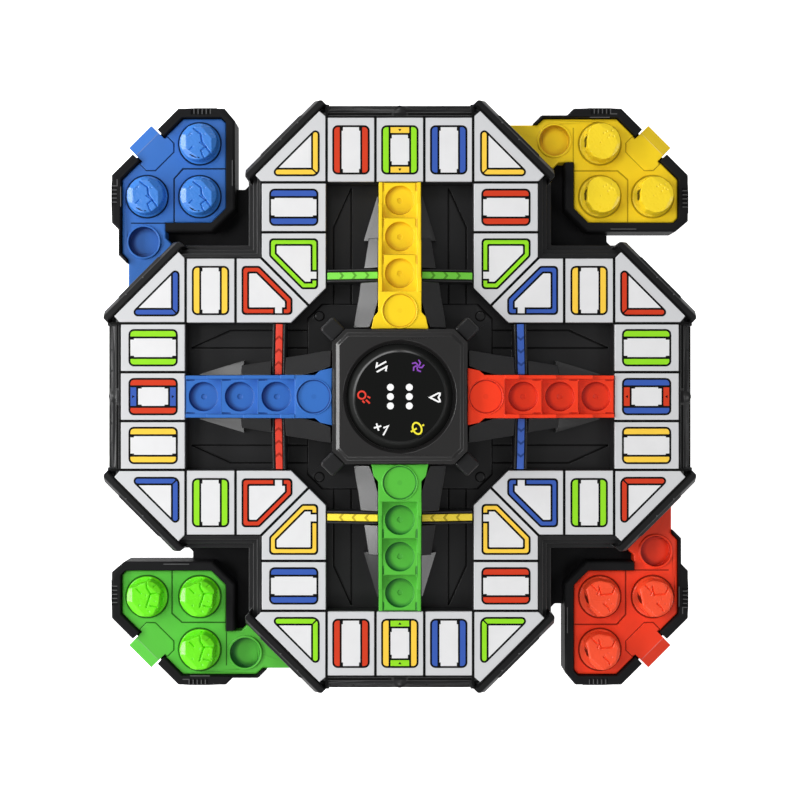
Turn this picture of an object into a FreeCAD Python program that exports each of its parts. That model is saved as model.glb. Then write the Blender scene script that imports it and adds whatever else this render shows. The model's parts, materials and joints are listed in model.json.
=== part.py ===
import FreeCAD, Part
import math
import os

# Electronic ludo game, millimetres, +Z up.
# The origin is the centre of the square footprint, on the surface that the game stands on.
# North is +Y. Each quarter of the board is the north arm, or the north-west tray, turned clockwise.

ROOT = math.sqrt(2.0)

# Board plan
ARM_HALF = 73.5             # half the width of one arm, to the outside of its skirt
ARM_REACH = 141.4           # centre to the straight outer edge of an arm
EDGE_HALF = 41.6            # half the length of an arm's straight outer edge
BAND_SUM = ARM_REACH + EDGE_HALF    # |x| + |y| along the outside of a diagonal band
BAND_WIDTH = 4.6            # across a diagonal band, square to its length
BAND_SLOPE_DROP = 2.2       # the outer part of a band slopes down by this much
BAND_SLOPE_RUN = 2.6
KNOB_PROUD = 0.6            # how far a band's blunt end stands out past the skirt
KNOB_BLUNT = 3.7
KNOB_CHAMFER = 2.2
EDGE_BOSS_RADIUS = 2.9      # the round boss in the middle of each straight edge
EDGE_BOSS_INSET = 4.6       # its middle, in from the outer edge
EDGE_BOSS_DROP = 0.6

# Track tiles
TILE_LENGTH = 31.4          # across the ring of tiles
RING_MARGIN = 7.4           # outer tile row to the edge of the board
COLUMN_MARGIN = 7.0         # tile column to the side of the arm
RING_OUTER = ARM_REACH - RING_MARGIN
COLUMN_OUTER = ARM_HALF - COLUMN_MARGIN
WELL_HALF = COLUMN_OUTER - TILE_LENGTH      # half the width of the sunken floor in one arm
WELL_END = RING_OUTER - TILE_LENGTH         # centre to the outer end of the sunken floor
TILE_PITCH = WELL_HALF * 2 / 3              # three tiles across the sunken floor's width
COLUMN_TILE = 23.9          # length of the plain tile in a column
COLUMN_SPLIT = WELL_END - COLUMN_TILE
TILE_GAP = 0.8
TILE_FIT = 0.15             # between a tile and its pocket
TILE_BLUNT = 3.5            # the cut points of a corner tile
TILE_EDGE = 0.2
TILE_MOAT = 0.4             # the groove round the tiles reaches this far past their shared borders
TILE_MOAT_DEPTH = 0.7
BAND_TO_TILES = 0.4         # inner side of a band to the border of the tiles
TILE_THICK = 1.6
TILE_PROUD = 0.6            # how far a tile stands above the deck

# Battery cells, three AA side by side, and their bay
CELL_RADIUS = 7.25
CELL_LENGTH = 50.5
CELL_PITCH = 2 * CELL_RADIUS + 0.7
CELL_TIP_RADIUS = 2.7
CELL_TIP = 1.4
BAY_HALF_X = CELL_PITCH + CELL_RADIUS + 1.15
BAY_HALF_Y = CELL_LENGTH / 2 + 3.95
BAY_WALL = 1.6
DOOR_FIT = 0.3
DOOR_LEDGE = 1.8            # how far the battery door laps over the edge of the bay
DOOR_EAR = 9.0              # how far the door reaches past the bay, for its screws
DOOR_EAR_HALF = 7.0
DOOR_THICK = 1.5
CONTACT_THICK = 0.45

# Heights
SHELL_LOW = 1.0             # underside of the bottom shell
SHELL_PLATE = 2.0
SHELL_WALL = 2.0
SHELL_TOP = SHELL_LOW + SHELL_PLATE         # upper face of the bottom shell's plate
CELL_LOW = SHELL_LOW + DOOR_THICK + 0.7
FLOOR_LOW = CELL_LOW + 2 * CELL_RADIUS + 0.3
FLOOR_PLATE = 2.0
FLOOR_TOP = FLOOR_LOW + FLOOR_PLATE
PLATFORM_TOP = FLOOR_TOP + 1.2
DECK_LOW = FLOOR_LOW        # lower edge of the ring deck's skirt
DECK_TOP = 30.0
DECK_PLATE = 2.5
DECK_WALL = 2.0
BAND_TOP = DECK_TOP + 0.8
TOWER_TOP = 49.0
POST_TOP = TOWER_TOP - 4.0
BUTTON_TOP = TOWER_TOP + 2.0

# Skirt steps: each is lower and further out than the one before
SKIRT_STEPS = ((DECK_TOP, 6.5), (DECK_TOP - 1.8, 4.7), (DECK_TOP - 4.8, 2.5), (DECK_TOP - 8.4, 0.0))
SHELL_INSET = 1.2           # bottom shell inside the deck's skirt

# Dice button
BUTTON_RADIUS = 24.4
BUTTON_BEVEL = 2.9          # across the conical edge of the button
BUTTON_BEVEL_DROP = 4.4
BUTTON_WALL = 1.7
BUTTON_FLANGE = 1.9         # how far the holding flange stands out
BUTTON_TRAVEL = 2.2
FLANGE_THICK = 2.0
FLANGE_GAP = 0.3
CARRIER_LOW = TOWER_TOP - 10.4
CARRIER_THICK = 2.0
CARRIER_FIT = 0.15
CARRIER_POST = 1.2          # height of the posts that hold the lamp board
LAMP_BOARD_THICK = 1.2
LAMP_MARGIN = 2.4           # lamp board inside the button's face
PIP_COLUMN = 4.4
PIP_ROW = 4.35
ICON_CIRCLE = 15.0          # centre of the button to the middle of a lit sign

# Tower
WELL_FIT = 0.7
WELL_RADIUS = BUTTON_RADIUS + WELL_FIT      # hole that the dice button runs in
WELL_LEAD = 1.3
TOWER_MARGIN = 6.35
TOWER_HALF = WELL_RADIUS + TOWER_MARGIN
TOWER_CHAMFER = 6.2
TOWER_WALL = 2.2
TOWER_PLATE = 3.0
TOWER_LEDGE = 1.8           # flat ledge round the tower's top
TOWER_SLOPE = 1.6           # sloping strip inside the ledge
TOWER_SLOPE_RISE = 0.95
TOWER_NOTCH_HALF = 12.8
TOWER_NOTCH = 0.7
TOWER_NOTCH_DROP = 3.4
POST_WIDTH = 8.8
POST_CORNER = 1.0
POST_EDGE = 0.8
PLATFORM_HALF = TOWER_HALF + 13.15
PLATFORM_SUM = 2 * TOWER_HALF - TOWER_CHAMFER + POST_WIDTH * ROOT + 13.1    # |x| + |y| at its cut corners
BEND_SUM = PLATFORM_SUM + 4.8               # |x| + |y| along the inner diagonal of the ring
FLOOR_STUD_RADIUS = 2.0
FLOOR_STUD_HEIGHT = 1.2

# Home stairs
LANE_HALF = 10.1
LANE_GAP = 0.2              # a stair to the ring, and to the tower
LANE_INNER = TOWER_HALF + LANE_GAP          # centre to the tower end of a stair
LANE_LAST_SEAT = LANE_INNER + 8.6           # centre to the top seat
LANE_FIRST_SEAT = WELL_END - 8.7
LANE_PITCH = (LANE_FIRST_SEAT - LANE_LAST_SEAT) / 3
LANE_FIRST_LEVEL = DECK_TOP + 1.5
LANE_RISE = 4.5
LANE_RAIL_WIDTH = 1.8
LANE_RAIL_HEIGHT = 0.35
LANE_RAIL_LAG = 2.2         # a rail steps up this far past the middle of a tread
LANE_WALL = 2.0
LANE_TREAD = 3.6
LANE_FLARE_START = LANE_INNER + 8.0
LANE_FLARE_MID = LANE_INNER + 5.6
LANE_FLARE_MID_OUT = 2.1
LANE_FLARE_OUT = 3.3
CUP_RADIUS = 7.0
CUP_FLOOR_RADIUS = 6.5
CUP_DEPTH = 1.6
CUP_DIMPLE_RADIUS = 1.3
CUP_DIMPLE_DEPTH = 0.4
SLIT_WIDTH = 0.45           # the short slits beside the rails
SLIT_LENGTH = 3.4
SLIT_DEPTH = 0.5
SLIT_GAP = 0.4
TOP_SEAT_RADIUS = 7.9
TOP_SEAT_RIM = 0.5
TOP_SEAT_RIM_HEIGHT = 0.4
TOP_SEAT_DEPTH = 0.6

# Rock ridges; foot line and height along the stair, from the ring to the tower
RIDGE_SLOPE = 0.62          # height of a slope over its width
RIDGE_FOOT = (-14.9, -17.1, -18.7, -20.0, -21.3, -21.9)
RIDGE_TOP = (34.5, 37.8, 39.2, 41.6, 42.6, 43.0)
RIDGE_START = LANE_INNER + 44.0
RIDGE_BLADE_START = WELL_END - 6.0
RIDGE_BLADE_TOP = FLOOR_TOP + 6.0

# Bridges and floor grooves
BRIDGE_CENTRE = PLATFORM_HALF + 13.1        # centre to the middle of a bridge strip
BRIDGE_WIDTH = 4.1
BRIDGE_RAIL = 1.0
BRIDGE_THICK = 1.4
BRIDGE_OUTER_TOP = DECK_TOP + 1.0
BRIDGE_INNER_TOP = DECK_TOP + 5.5
BRIDGE_GAP = 0.4            # between a bridge and the stair or the ring wall
GROOVE_DEPTH = 0.6
GROOVE_WIDTH = 0.8
GROOVE_OUTER = WELL_HALF - 2.8
GROOVE_INNER = WELL_HALF - 11.4
GROOVE_OUTER_END = WELL_END - 20.1
GROOVE_INNER_END = WELL_END - 1.1

# Tokens
TOKEN_RADIUS = 10.0
TOKEN_HEAD = 9.0            # head height above the seat
TOKEN_LIP = 1.4
TOKEN_FACETS = 7
PEG_RADIUS = 7.0
PEG_LENGTH = 5.6
PEG_FIT = 0.4
SEAT_GAP = 0.3

# Corner trays, in the north-west corner; u runs out along the diagonal, v across it
RIM_TOP = 16.0
INSERT_TOP = 13.5
TRAY_GAP = 7.5              # arm skirt to the near side of a tray
TRAY_PROUD = 0.2            # how far a tray stands out past the arms
TRAY_CUT = 32.8             # the outer corner is cut off by this much along each side
TRAY_NEAR = ARM_HALF + TRAY_GAP
TRAY_FAR = ARM_REACH + TRAY_PROUD
TRAY_NEAR_WALL = 4.6        # width of the rim on the near sides
TRAY_FAR_WALL = 4.8
TRAY_CORNER = (2 * TRAY_FAR - TRAY_CUT) / ROOT     # u of the cut outer corner
RIM_EDGE = 0.9
RIM_WALL = 2.2
RIM_RIBS = 5
TRAY_PLATE_LOW = 3.3
TRAY_PLATE_TOP = 5.7
TRAY_FIT = 0.25             # between an insert and its frame
INSERT_PLATE = 2.2
INSERT_WALL = 1.8
TONGUE_HALF = 20.0
TONGUE_END = 84.0           # centre to the inner end of the tongue, along the diagonal
SLIDE_FIT = 0.3
FLANGE_END = 103.2          # where the plate beside a tray's near side ends
SEAT_RADIUS = TOKEN_RADIUS + 0.7
SEAT_DEPTH = 1.0
SEAT_BOSS_WALL = 1.6
SEAT_NEAR = TRAY_NEAR + TRAY_NEAR_WALL + SEAT_RADIUS + 2.2     # token seats, along x and y
SEAT_FAR = TRAY_FAR - TRAY_FAR_WALL - SEAT_RADIUS - 1.6
START_X = ARM_REACH - 15.4  # the start cup is at (-START_X, START_Y)
START_Y = ARM_HALF + 2.6
START_CUP_RADIUS = 7.4
START_RIM_RADIUS = 8.4
START_RIM_HEIGHT = 0.9
START_CUP_DEPTH = 3.0
START_REACH = 10.4          # how far the start cup's arm reaches in under the deck
START_CLEAR = 1.0           # room round that arm
LINE_WIDTH = 0.6            # the lines sunk into an insert
LINE_DEPTH = 0.5

# Pull tabs
TAB_HALF = 7.8
TAB_NOTCH_HALF = 8.6
TAB_NOTCH_START = TRAY_CORNER - 5.5
TAB_NOTCH_DEEP = TRAY_CORNER - 2.0          # from here the notch goes right through
TAB_PANEL_HALF = 9.4
TAB_PANEL_START = TRAY_CORNER - 13.1
TAB_PANEL_END = TRAY_CORNER - 5.7
TAB_PANEL_CORNER = 3.1
TAB_CREASE = TRAY_CORNER - 1.2
TAB_EDGE = TRAY_CORNER + 4.8
TAB_DROP = 3.4
TAB_THICK = 1.5
TAB_TOP = INSERT_TOP + 0.3

# Screws, feet, boards, speaker and switches
FOOT_RADIUS = 6.0
FOOT_RECESS = 0.8
SCREW_RADIUS = 1.5
SCREW_THREAD_FIT = 0.1      # a screw inside its pilot hole
SCREW_HOLE_FIT = 0.2        # a through hole round a screw
SCREW_HEAD_RADIUS = 2.8
SCREW_HEAD = 1.6
FLAT_HEAD = 0.7             # height of the flat heads under the shell
SCREW_LENGTH = 9.0
BOSS_RADIUS = 3.6
DOOR_BOSS_RADIUS = 4.2
BOARD_RAISE = 4.0           # platform to the underside of the main board
BOARD_THICK = 1.6
SOUND_CHIP = (-20.0, -12.0, -4.0, 4.0)
SOUND_CHIP_HEIGHT = 1.6
CAPACITOR_PLACE = (18.0, 8.0)
CAPACITOR_RADIUS = 3.0
CAPACITOR_HEIGHT = 6.4
LEAD_SOCKET = (-6.0, 6.0, 17.0, 22.0)
LEAD_SOCKET_HEIGHT = 4.4
DICE_SWITCH_BASE = 3.8
DICE_SWITCH_HEIGHT = 5.2    # base and tip together
STEM_RADIUS = 3.0
STEM_GAP = 0.1              # left over the switch tip when the button is pressed
SPRING_RADIUS = 6.0
SPRING_WIRE = 0.9
SPRING_TURNS = 5
SPEAKER_RADIUS = 18.0
SPEAKER_PLACE = (0.0, -66.0)
SPEAKER_FRAME = 3.0
SPEAKER_CONE = 3.0
SPEAKER_MAGNET = 3.5
SWITCH_PLACE = (0.0, 62.0)
SWITCH_TRAVEL = 4.0
SWITCH_KNOB = 4.0
SWITCH_KNOB_HALF = 2.2
SWITCH_SKIRT = 2.0          # how far the knob's base reaches past the knob, each way
SWITCH_FIT = 0.3

COLOURS = ("yellow", "red", "green", "blue")        # north, east, south, west
TRAY_COLOURS = ("blue", "yellow", "red", "green")   # north-west, then clockwise
BRIDGE_COLOURS = ("green", "blue", "yellow", "red")  # north arm, then clockwise

os.makedirs("parts", exist_ok=True)


# Shape helpers
def point(x, y, z=0.0):
    return FreeCAD.Vector(x, y, z)


def diagonal(u, v):
    """Plan point in the north-west corner: u out along the diagonal, v across it."""
    return ((v - u) / ROOT, (v + u) / ROOT)


def prism(outline, low, high):
    corners = [point(x, y, low) for x, y in outline]
    face = Part.Face(Part.makePolygon(corners + corners[:1]))
    return face.extrude(point(0, 0, high - low))


def box(x0, x1, y0, y1, z0, z1):
    return Part.makeBox(x1 - x0, y1 - y0, z1 - z0, point(x0, y0, z0))


def diagonal_box(u0, u1, v0, v1, z0, z1):
    return prism([diagonal(u0, v0), diagonal(u1, v0), diagonal(u1, v1), diagonal(u0, v1)], z0, z1)


def cylinder(x, y, radius, low, high):
    return Part.makeCylinder(radius, high - low, point(x, y, low))


def turned(shape, quarters):
    """The same shape, turned clockwise by a number of quarters."""
    copy = shape.copy()
    copy.rotate(point(0, 0), point(0, 0, 1), -90.0 * quarters)
    return copy


def flipped(shape):
    """The mirror image across the plane x = 0."""
    return shape.mirror(point(0, 0), point(1, 0, 0))


def both_sides(shape):
    return [shape, flipped(shape)]


def four_ways(shapes):
    return [turned(shape, quarter) for quarter in range(4) for shape in shapes]


def joined(shapes):
    return shapes[0].multiFuse(shapes[1:]).removeSplitter() if len(shapes) > 1 else shapes[0]


def turn_points(points, quarters):
    for _ in range(quarters):
        points = [(y, -x) for x, y in points]
    return points


def offset(outline, distance):
    """The outline with every edge moved outwards by distance, corners kept sharp."""
    count = len(outline)
    area = sum(outline[i][0] * outline[(i + 1) % count][1] - outline[(i + 1) % count][0] * outline[i][1]
               for i in range(count))
    side = 1.0 if area > 0 else -1.0
    edges = []
    for i in range(count):
        (x0, y0), (x1, y1) = outline[i], outline[(i + 1) % count]
        length = math.hypot(x1 - x0, y1 - y0)
        nx, ny = side * (y1 - y0) / length, -side * (x1 - x0) / length
        edges.append((x0 + nx * distance, y0 + ny * distance, x1 - x0, y1 - y0))
    result = []
    for i in range(count):
        ax, ay, adx, ady = edges[i - 1]
        bx, by, bdx, bdy = edges[i]
        cross = adx * bdy - ady * bdx
        along = ((bx - ax) * bdy - (by - ay) * bdx) / cross
        result.append((ax + adx * along, ay + ady * along))
    return result


def revolved(profile, x=0.0, y=0.0):
    """A solid of revolution about a vertical axis; profile is a list of (radius, height)."""
    corners = [point(radius, 0, height) for radius, height in profile]
    face = Part.Face(Part.makePolygon(corners + corners[:1]))
    solid = face.revolve(point(0, 0), point(0, 0, 1), 360)
    solid.translate(point(x, y))
    return solid


def export(name, shapes):
    shape = shapes[0] if len(shapes) == 1 else Part.makeCompound(shapes)
    shape.exportStep("parts/" + name + ".step")
    print(name, len(shape.Solids), "solids", round(shape.Volume), "mm3")


# Outlines of the board
def board_outline(inset):
    """The cross-shaped outline without the band ends, drawn in by inset on every side."""
    half, reach = ARM_HALF - inset, ARM_REACH - inset
    band = BAND_SUM - inset * ROOT
    arm = [(-half, half), (-half, band - half), (reach - band, reach),
           (band - reach, reach), (half, band - half)]
    return [corner for quarter in range(4) for corner in turn_points(arm, quarter)]


def skirt_outline(inset):
    """The outline at one step of the skirt: the straight sides draw in, the diagonals stay."""
    half, reach = ARM_HALF - inset, ARM_REACH - inset
    arm = [(-half, half), (-half, BAND_SUM - half), (reach - BAND_SUM, reach),
           (BAND_SUM - reach, reach), (half, BAND_SUM - half)]
    return [corner for quarter in range(4) for corner in turn_points(arm, quarter)]


def well_outline(margin=0.0):
    """The sunken floor's outline: four arms joined across the inner diagonals."""
    half, end = WELL_HALF, WELL_END
    arm = [(-half, BEND_SUM - half), (-half, end), (half, end), (half, BEND_SUM - half)]
    outline = [corner for quarter in range(4) for corner in turn_points(arm, quarter)]
    return offset(outline, margin) if margin else outline


def band_outline(inner_sum, outer_drop=0.0):
    """One diagonal band, on the left of the north arm, with its two blunt ends."""
    outer = BAND_SUM - outer_drop
    half = ARM_HALF + KNOB_PROUD
    reach = ARM_REACH + KNOB_PROUD
    side_end = BAND_SUM - half - KNOB_BLUNT
    top_end = reach - BAND_SUM + KNOB_BLUNT
    low_half, low_reach = half - KNOB_CHAMFER, reach - KNOB_CHAMFER
    return [
        (-low_half, inner_sum - low_half),
        (-low_half, side_end - KNOB_CHAMFER),
        (-half, side_end),
        (-half, outer - half),
        (reach - outer, reach),
        (top_end, reach),
        (top_end + KNOB_CHAMFER, low_reach),
        (low_reach - inner_sum, low_reach),
    ]


# Track tiles, given for the left half of the north arm
def tile_outlines():
    near, far = TILE_PITCH / 2, TILE_PITCH * 1.5
    point_sum = BAND_SUM - (BAND_WIDTH + BAND_TO_TILES) * ROOT
    top = point_sum - far - TILE_BLUNT
    side = WELL_END + TILE_BLUNT
    return {
        "gate": [(-near, WELL_END), (-near, RING_OUTER), (near, RING_OUTER), (near, WELL_END)],
        "plain_row": [(-far, WELL_END), (-far, RING_OUTER), (-near, RING_OUTER), (-near, WELL_END)],
        "plain_column": [(-COLUMN_OUTER, COLUMN_SPLIT), (-COLUMN_OUTER, WELL_END),
                         (-WELL_HALF, WELL_END), (-WELL_HALF, COLUMN_SPLIT)],
        "bend": [(-COLUMN_OUTER, COLUMN_OUTER), (-COLUMN_OUTER, COLUMN_SPLIT), (-WELL_HALF, COLUMN_SPLIT),
                 (-WELL_HALF, BEND_SUM - WELL_HALF), (-BEND_SUM / 2, BEND_SUM / 2)],
        "corner": [(-far, WELL_END), (-far, top - TILE_BLUNT + 0.6), (-far - TILE_BLUNT, top),
                   (side - point_sum, side), (side + TILE_BLUNT - point_sum, WELL_END)],
    }


def tile_solid(outline, grow=0.0):
    top = DECK_TOP + TILE_PROUD
    return prism(offset(outline, grow - TILE_GAP / 2), top - TILE_THICK, top)


def softened(solid, height, size):
    """A small chamfer on the edges that lie at one height."""
    edges = [edge for edge in solid.Edges
             if all(abs(vertex.Point.z - height) < 1e-6 for vertex in edge.Vertexes)]
    return solid.makeChamfer(size, edges)


def make_tiles():
    piece = {name: softened(tile_solid(outline), DECK_TOP + TILE_PROUD, TILE_EDGE)
             for name, outline in tile_outlines().items()}
    export("gate_tiles", four_ways([piece["gate"]]))
    export("plain_tiles", four_ways(both_sides(piece["plain_row"]) + both_sides(piece["plain_column"])))
    export("bend_tiles", four_ways(both_sides(piece["bend"])))
    export("corner_tiles", four_ways(both_sides(piece["corner"])))


def tile_pockets():
    """A pocket for each tile, and the wider groove that separates the tiles."""
    pockets = []
    for name, outline in tile_outlines().items():
        moat = prism(offset(outline, TILE_MOAT), DECK_TOP - TILE_MOAT_DEPTH, DECK_TOP + 0.1)
        for pocket in (tile_solid(outline, TILE_FIT), moat):
            pockets += [pocket] if name == "gate" else both_sides(pocket)
    return four_ways(pockets)


# Where the shell screws sit in the north arm, clear of the trays' tongues and arms
def screw_places():
    outer = (ARM_HALF - 27.5, WELL_END + 9.4)
    inner = (WELL_HALF + 8.9, (TONGUE_END - 4.8) * ROOT - WELL_HALF - 8.9)
    return [(side * x, y) for x, y in (outer, inner) for side in (-1, 1)]


# Ring deck: the black casing that carries the tiles
def make_ring_deck():
    steps = []
    lows = [step[0] for step in SKIRT_STEPS[1:]] + [DECK_LOW]
    for (high, inset), low in zip(SKIRT_STEPS, lows):
        steps.append(prism(skirt_outline(inset), low, high))
    inner_sum = BAND_SUM - BAND_WIDTH * ROOT
    slope_start = BAND_TOP - BAND_SLOPE_DROP
    band = prism(band_outline(inner_sum), DECK_LOW, slope_start)
    slope = []
    for height, drop in ((slope_start, 0.0), (BAND_TOP, BAND_SLOPE_RUN)):
        corners = [point(x, y, height) for x, y in band_outline(inner_sum, drop)]
        slope.append(Part.makePolygon(corners + corners[:1]))
    boss_y, boss_top = ARM_REACH - EDGE_BOSS_INSET, DECK_TOP - EDGE_BOSS_DROP
    boss = joined([cylinder(0, boss_y, EDGE_BOSS_RADIUS, DECK_LOW, boss_top),
                   box(-EDGE_BOSS_RADIUS, EDGE_BOSS_RADIUS, boss_y - 3.1, boss_y, DECK_LOW, boss_top)])
    bands = four_ways(both_sides(band.fuse(Part.makeLoft(slope, True, True))) + [boss])
    deck = joined(steps + bands)
    deck = deck.cut(prism(well_outline(), DECK_LOW - 1, DECK_TOP + 1))
    deck = deck.cut(deck_cavity())
    bosses, pilots = [], []
    for x, y in screw_places():
        bosses.append(cylinder(x, y, BOSS_RADIUS, SHELL_TOP, DECK_TOP - DECK_PLATE))
        pilots.append(cylinder(x, y, SCREW_RADIUS, SHELL_TOP - 1, SHELL_TOP + SCREW_LENGTH))
    deck = deck.fuse(four_ways(bosses)).removeSplitter()
    export("ring_deck", [deck.cut(four_ways(pilots) + tile_pockets())])


def deck_cavity():
    """The hollow under the deck, which keeps a wall round the sunken floor."""
    tops = [DECK_TOP - DECK_PLATE] + [step[0] - DECK_WALL for step in SKIRT_STEPS[2:]]
    lows = tops[1:] + [DECK_LOW - 1]
    hollows = []
    for top, low, (_, inset) in zip(tops, lows, SKIRT_STEPS[1:]):
        hollows.append(prism(board_outline(inset + DECK_WALL), low, top))
    return joined(hollows).cut(prism(well_outline(DECK_WALL), FLOOR_TOP, DECK_TOP - DECK_PLATE))


# Bridge strips and the ribs that carry them
def bridge_prism(width, foot=None, reach=0.0, lift=0.0):
    """The bridge on the left of the north arm: a sloping strip, or a rib down to the height foot."""
    outer, inner = -WELL_HALF + BRIDGE_GAP, -LANE_HALF - BRIDGE_GAP
    rise = reach * (BRIDGE_INNER_TOP - BRIDGE_OUTER_TOP) / (inner - outer)
    top = [(outer - reach, BRIDGE_OUTER_TOP - rise), (inner + reach, BRIDGE_INNER_TOP + rise)]
    low = [(x, z - BRIDGE_THICK if foot is None else foot) for x, z in top]
    side = [low[0]] + [(x, z + lift) for x, z in top] + [low[1]]
    corners = [point(x, BRIDGE_CENTRE - width / 2, z) for x, z in side]
    return Part.Face(Part.makePolygon(corners + corners[:1])).extrude(point(0, width, 0))


def make_bridges():
    strips = both_sides(bridge_prism(BRIDGE_WIDTH))
    for quarter, colour in enumerate(BRIDGE_COLOURS):
        export("bridge_" + colour, [turned(strip, quarter) for strip in strips])


# Sunken floor, with its platform, grooves and the bridge ribs
def floor_grooves():
    low, high = FLOOR_TOP - GROOVE_DEPTH, FLOOR_TOP + 1
    half = GROOVE_WIDTH / 2
    slant = math.hypot(GROOVE_OUTER - GROOVE_INNER, GROOVE_INNER_END - GROOVE_OUTER_END)
    across = half * (GROOVE_INNER_END - GROOVE_OUTER_END) / slant
    along = half * (GROOVE_OUTER - GROOVE_INNER) / slant
    ends = [(-GROOVE_INNER, GROOVE_INNER_END), (-GROOVE_OUTER, GROOVE_OUTER_END)]
    outline = [(x - across, y + along) for x, y in ends] + [(x + across, y - along) for x, y in ends[::-1]]
    grooves = [prism(outline, low, high)]
    for x, end in ends:
        grooves.append(box(x - half, x + half, PLATFORM_HALF - 2, end, low, high))
    return four_ways([shape for groove in grooves for shape in both_sides(groove)])


def make_sunken_floor():
    overlap = 0.5
    plate = prism(well_outline(DECK_WALL + 0.6), FLOOR_LOW, FLOOR_TOP).cut(floor_grooves())
    platform = chamfered_square(PLATFORM_HALF, 2 * PLATFORM_HALF - PLATFORM_SUM)
    low = FLOOR_TOP - overlap
    place = PLATFORM_SUM / 2 - FLOOR_STUD_RADIUS
    stud = cylinder(-place, place, FLOOR_STUD_RADIUS, low, PLATFORM_TOP + FLOOR_STUD_HEIGHT)
    ribs = both_sides(bridge_prism(BRIDGE_WIDTH + 2 * BRIDGE_RAIL, low))
    floor = joined([plate, prism(platform, low, PLATFORM_TOP)] + four_ways(ribs + [stud]))
    cuts = four_ways(both_sides(bridge_prism(BRIDGE_WIDTH, reach=1.0, lift=2.0)))
    cuts.append(cylinder(0, TOWER_HALF - 9.0, 3.0, FLOOR_LOW - 1, PLATFORM_TOP + 1))
    for x, y in tower_screw_places():
        cuts.append(cylinder(x, y, SCREW_RADIUS + SCREW_HOLE_FIT, FLOOR_LOW - 1, PLATFORM_TOP + 1))
        cuts.append(cylinder(x, y, SCREW_HEAD_RADIUS + SCREW_HOLE_FIT, FLOOR_LOW - 1, FLOOR_LOW + SCREW_HEAD))
    export("sunken_floor", [floor.cut(cuts)])


def tower_screw_places():
    reach = TOWER_HALF - TOWER_WALL - 4.6
    return [(sx * reach, sy * reach) for sx in (-1, 1) for sy in (-1, 1)]


# Rock ridges beside the stairs
def ridge_wedge(near, far, base):
    """One stretch of a ridge: near and far are its y, inner x, outer x and height along the stair."""
    corners = []
    for y, inner, outer, top in (near, far):
        foot = top - RIDGE_SLOPE * abs(outer - inner)
        plan_and_height = ((inner, base), (outer, base), (outer, foot), (inner, top))
        corners.append([point(x, y, z) for x, z in plan_and_height])
    (a, b, c, d), (e, f, g, h) = corners
    triangles = [(a, b, c), (a, c, d), (e, g, f), (e, h, g), (a, f, b), (a, e, f), (b, f, g), (b, g, c),
                 (c, g, h), (c, h, d), (d, h, e), (d, e, a)]
    faces = [Part.Face(Part.makePolygon([p, q, r, p])) for p, q, r in triangles]
    solid = Part.makeSolid(Part.makeShell(faces))
    if solid.Volume < 0:
        solid.reverse()
    return solid


def make_rock_ridges():
    """Each ridge on the left of the north stair: a flat blade, then slopes on both sides of the bridge."""
    inner = -LANE_HALF - LANE_GAP
    bridge_edge = BRIDGE_WIDTH / 2 + BRIDGE_RAIL + 0.3
    lengthwise = (RIDGE_START, BRIDGE_CENTRE + bridge_edge, BRIDGE_CENTRE - bridge_edge,
                  PLATFORM_HALF + 0.3, LANE_INNER + 5.7, LANE_INNER + 0.8)
    sides = (inner, inner, inner, inner, inner - 2.0, inner - 4.0)
    places = list(zip(lengthwise, sides, RIDGE_FOOT, RIDGE_TOP))
    before, behind = places[:2], places[2:]
    blade_end = RIDGE_START - 0.2
    blade = [(inner, RIDGE_BLADE_START), (inner - 0.6, RIDGE_BLADE_START), (inner - 7.2, blade_end),
             (inner, blade_end)]
    outer_piece = joined([prism(blade, FLOOR_TOP, RIDGE_BLADE_TOP), ridge_wedge(*before, FLOOR_TOP)])
    stretches = [ridge_wedge(behind[0], behind[1], FLOOR_TOP)]
    stretches += [ridge_wedge(near, far, PLATFORM_TOP) for near, far in zip(behind[1:-1], behind[2:])]
    pieces = [outer_piece, joined(stretches)]
    export("rock_ridges", four_ways([shape for piece in pieces for shape in both_sides(piece)]))


# Home stairs
def lane_levels():
    return [LANE_FIRST_LEVEL + LANE_RISE * step for step in range(4)]


def lane_bounds():
    """Far and near end of each tread, from the ring to the tower, and the seats."""
    seats = [LANE_LAST_SEAT + LANE_PITCH * step for step in (3, 2, 1, 0)]
    ends = [WELL_END - LANE_GAP] + [seat - LANE_PITCH / 2 for seat in seats[:3]] + [LANE_INNER]
    return list(zip(ends[:-1], ends[1:])), seats


def flare_outline():
    corners = [(LANE_HALF, LANE_FLARE_START), (LANE_HALF + LANE_FLARE_MID_OUT, LANE_FLARE_MID),
               (LANE_HALF + LANE_FLARE_OUT, LANE_INNER)]
    return [(-x, y) for x, y in corners] + corners[::-1]


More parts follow.
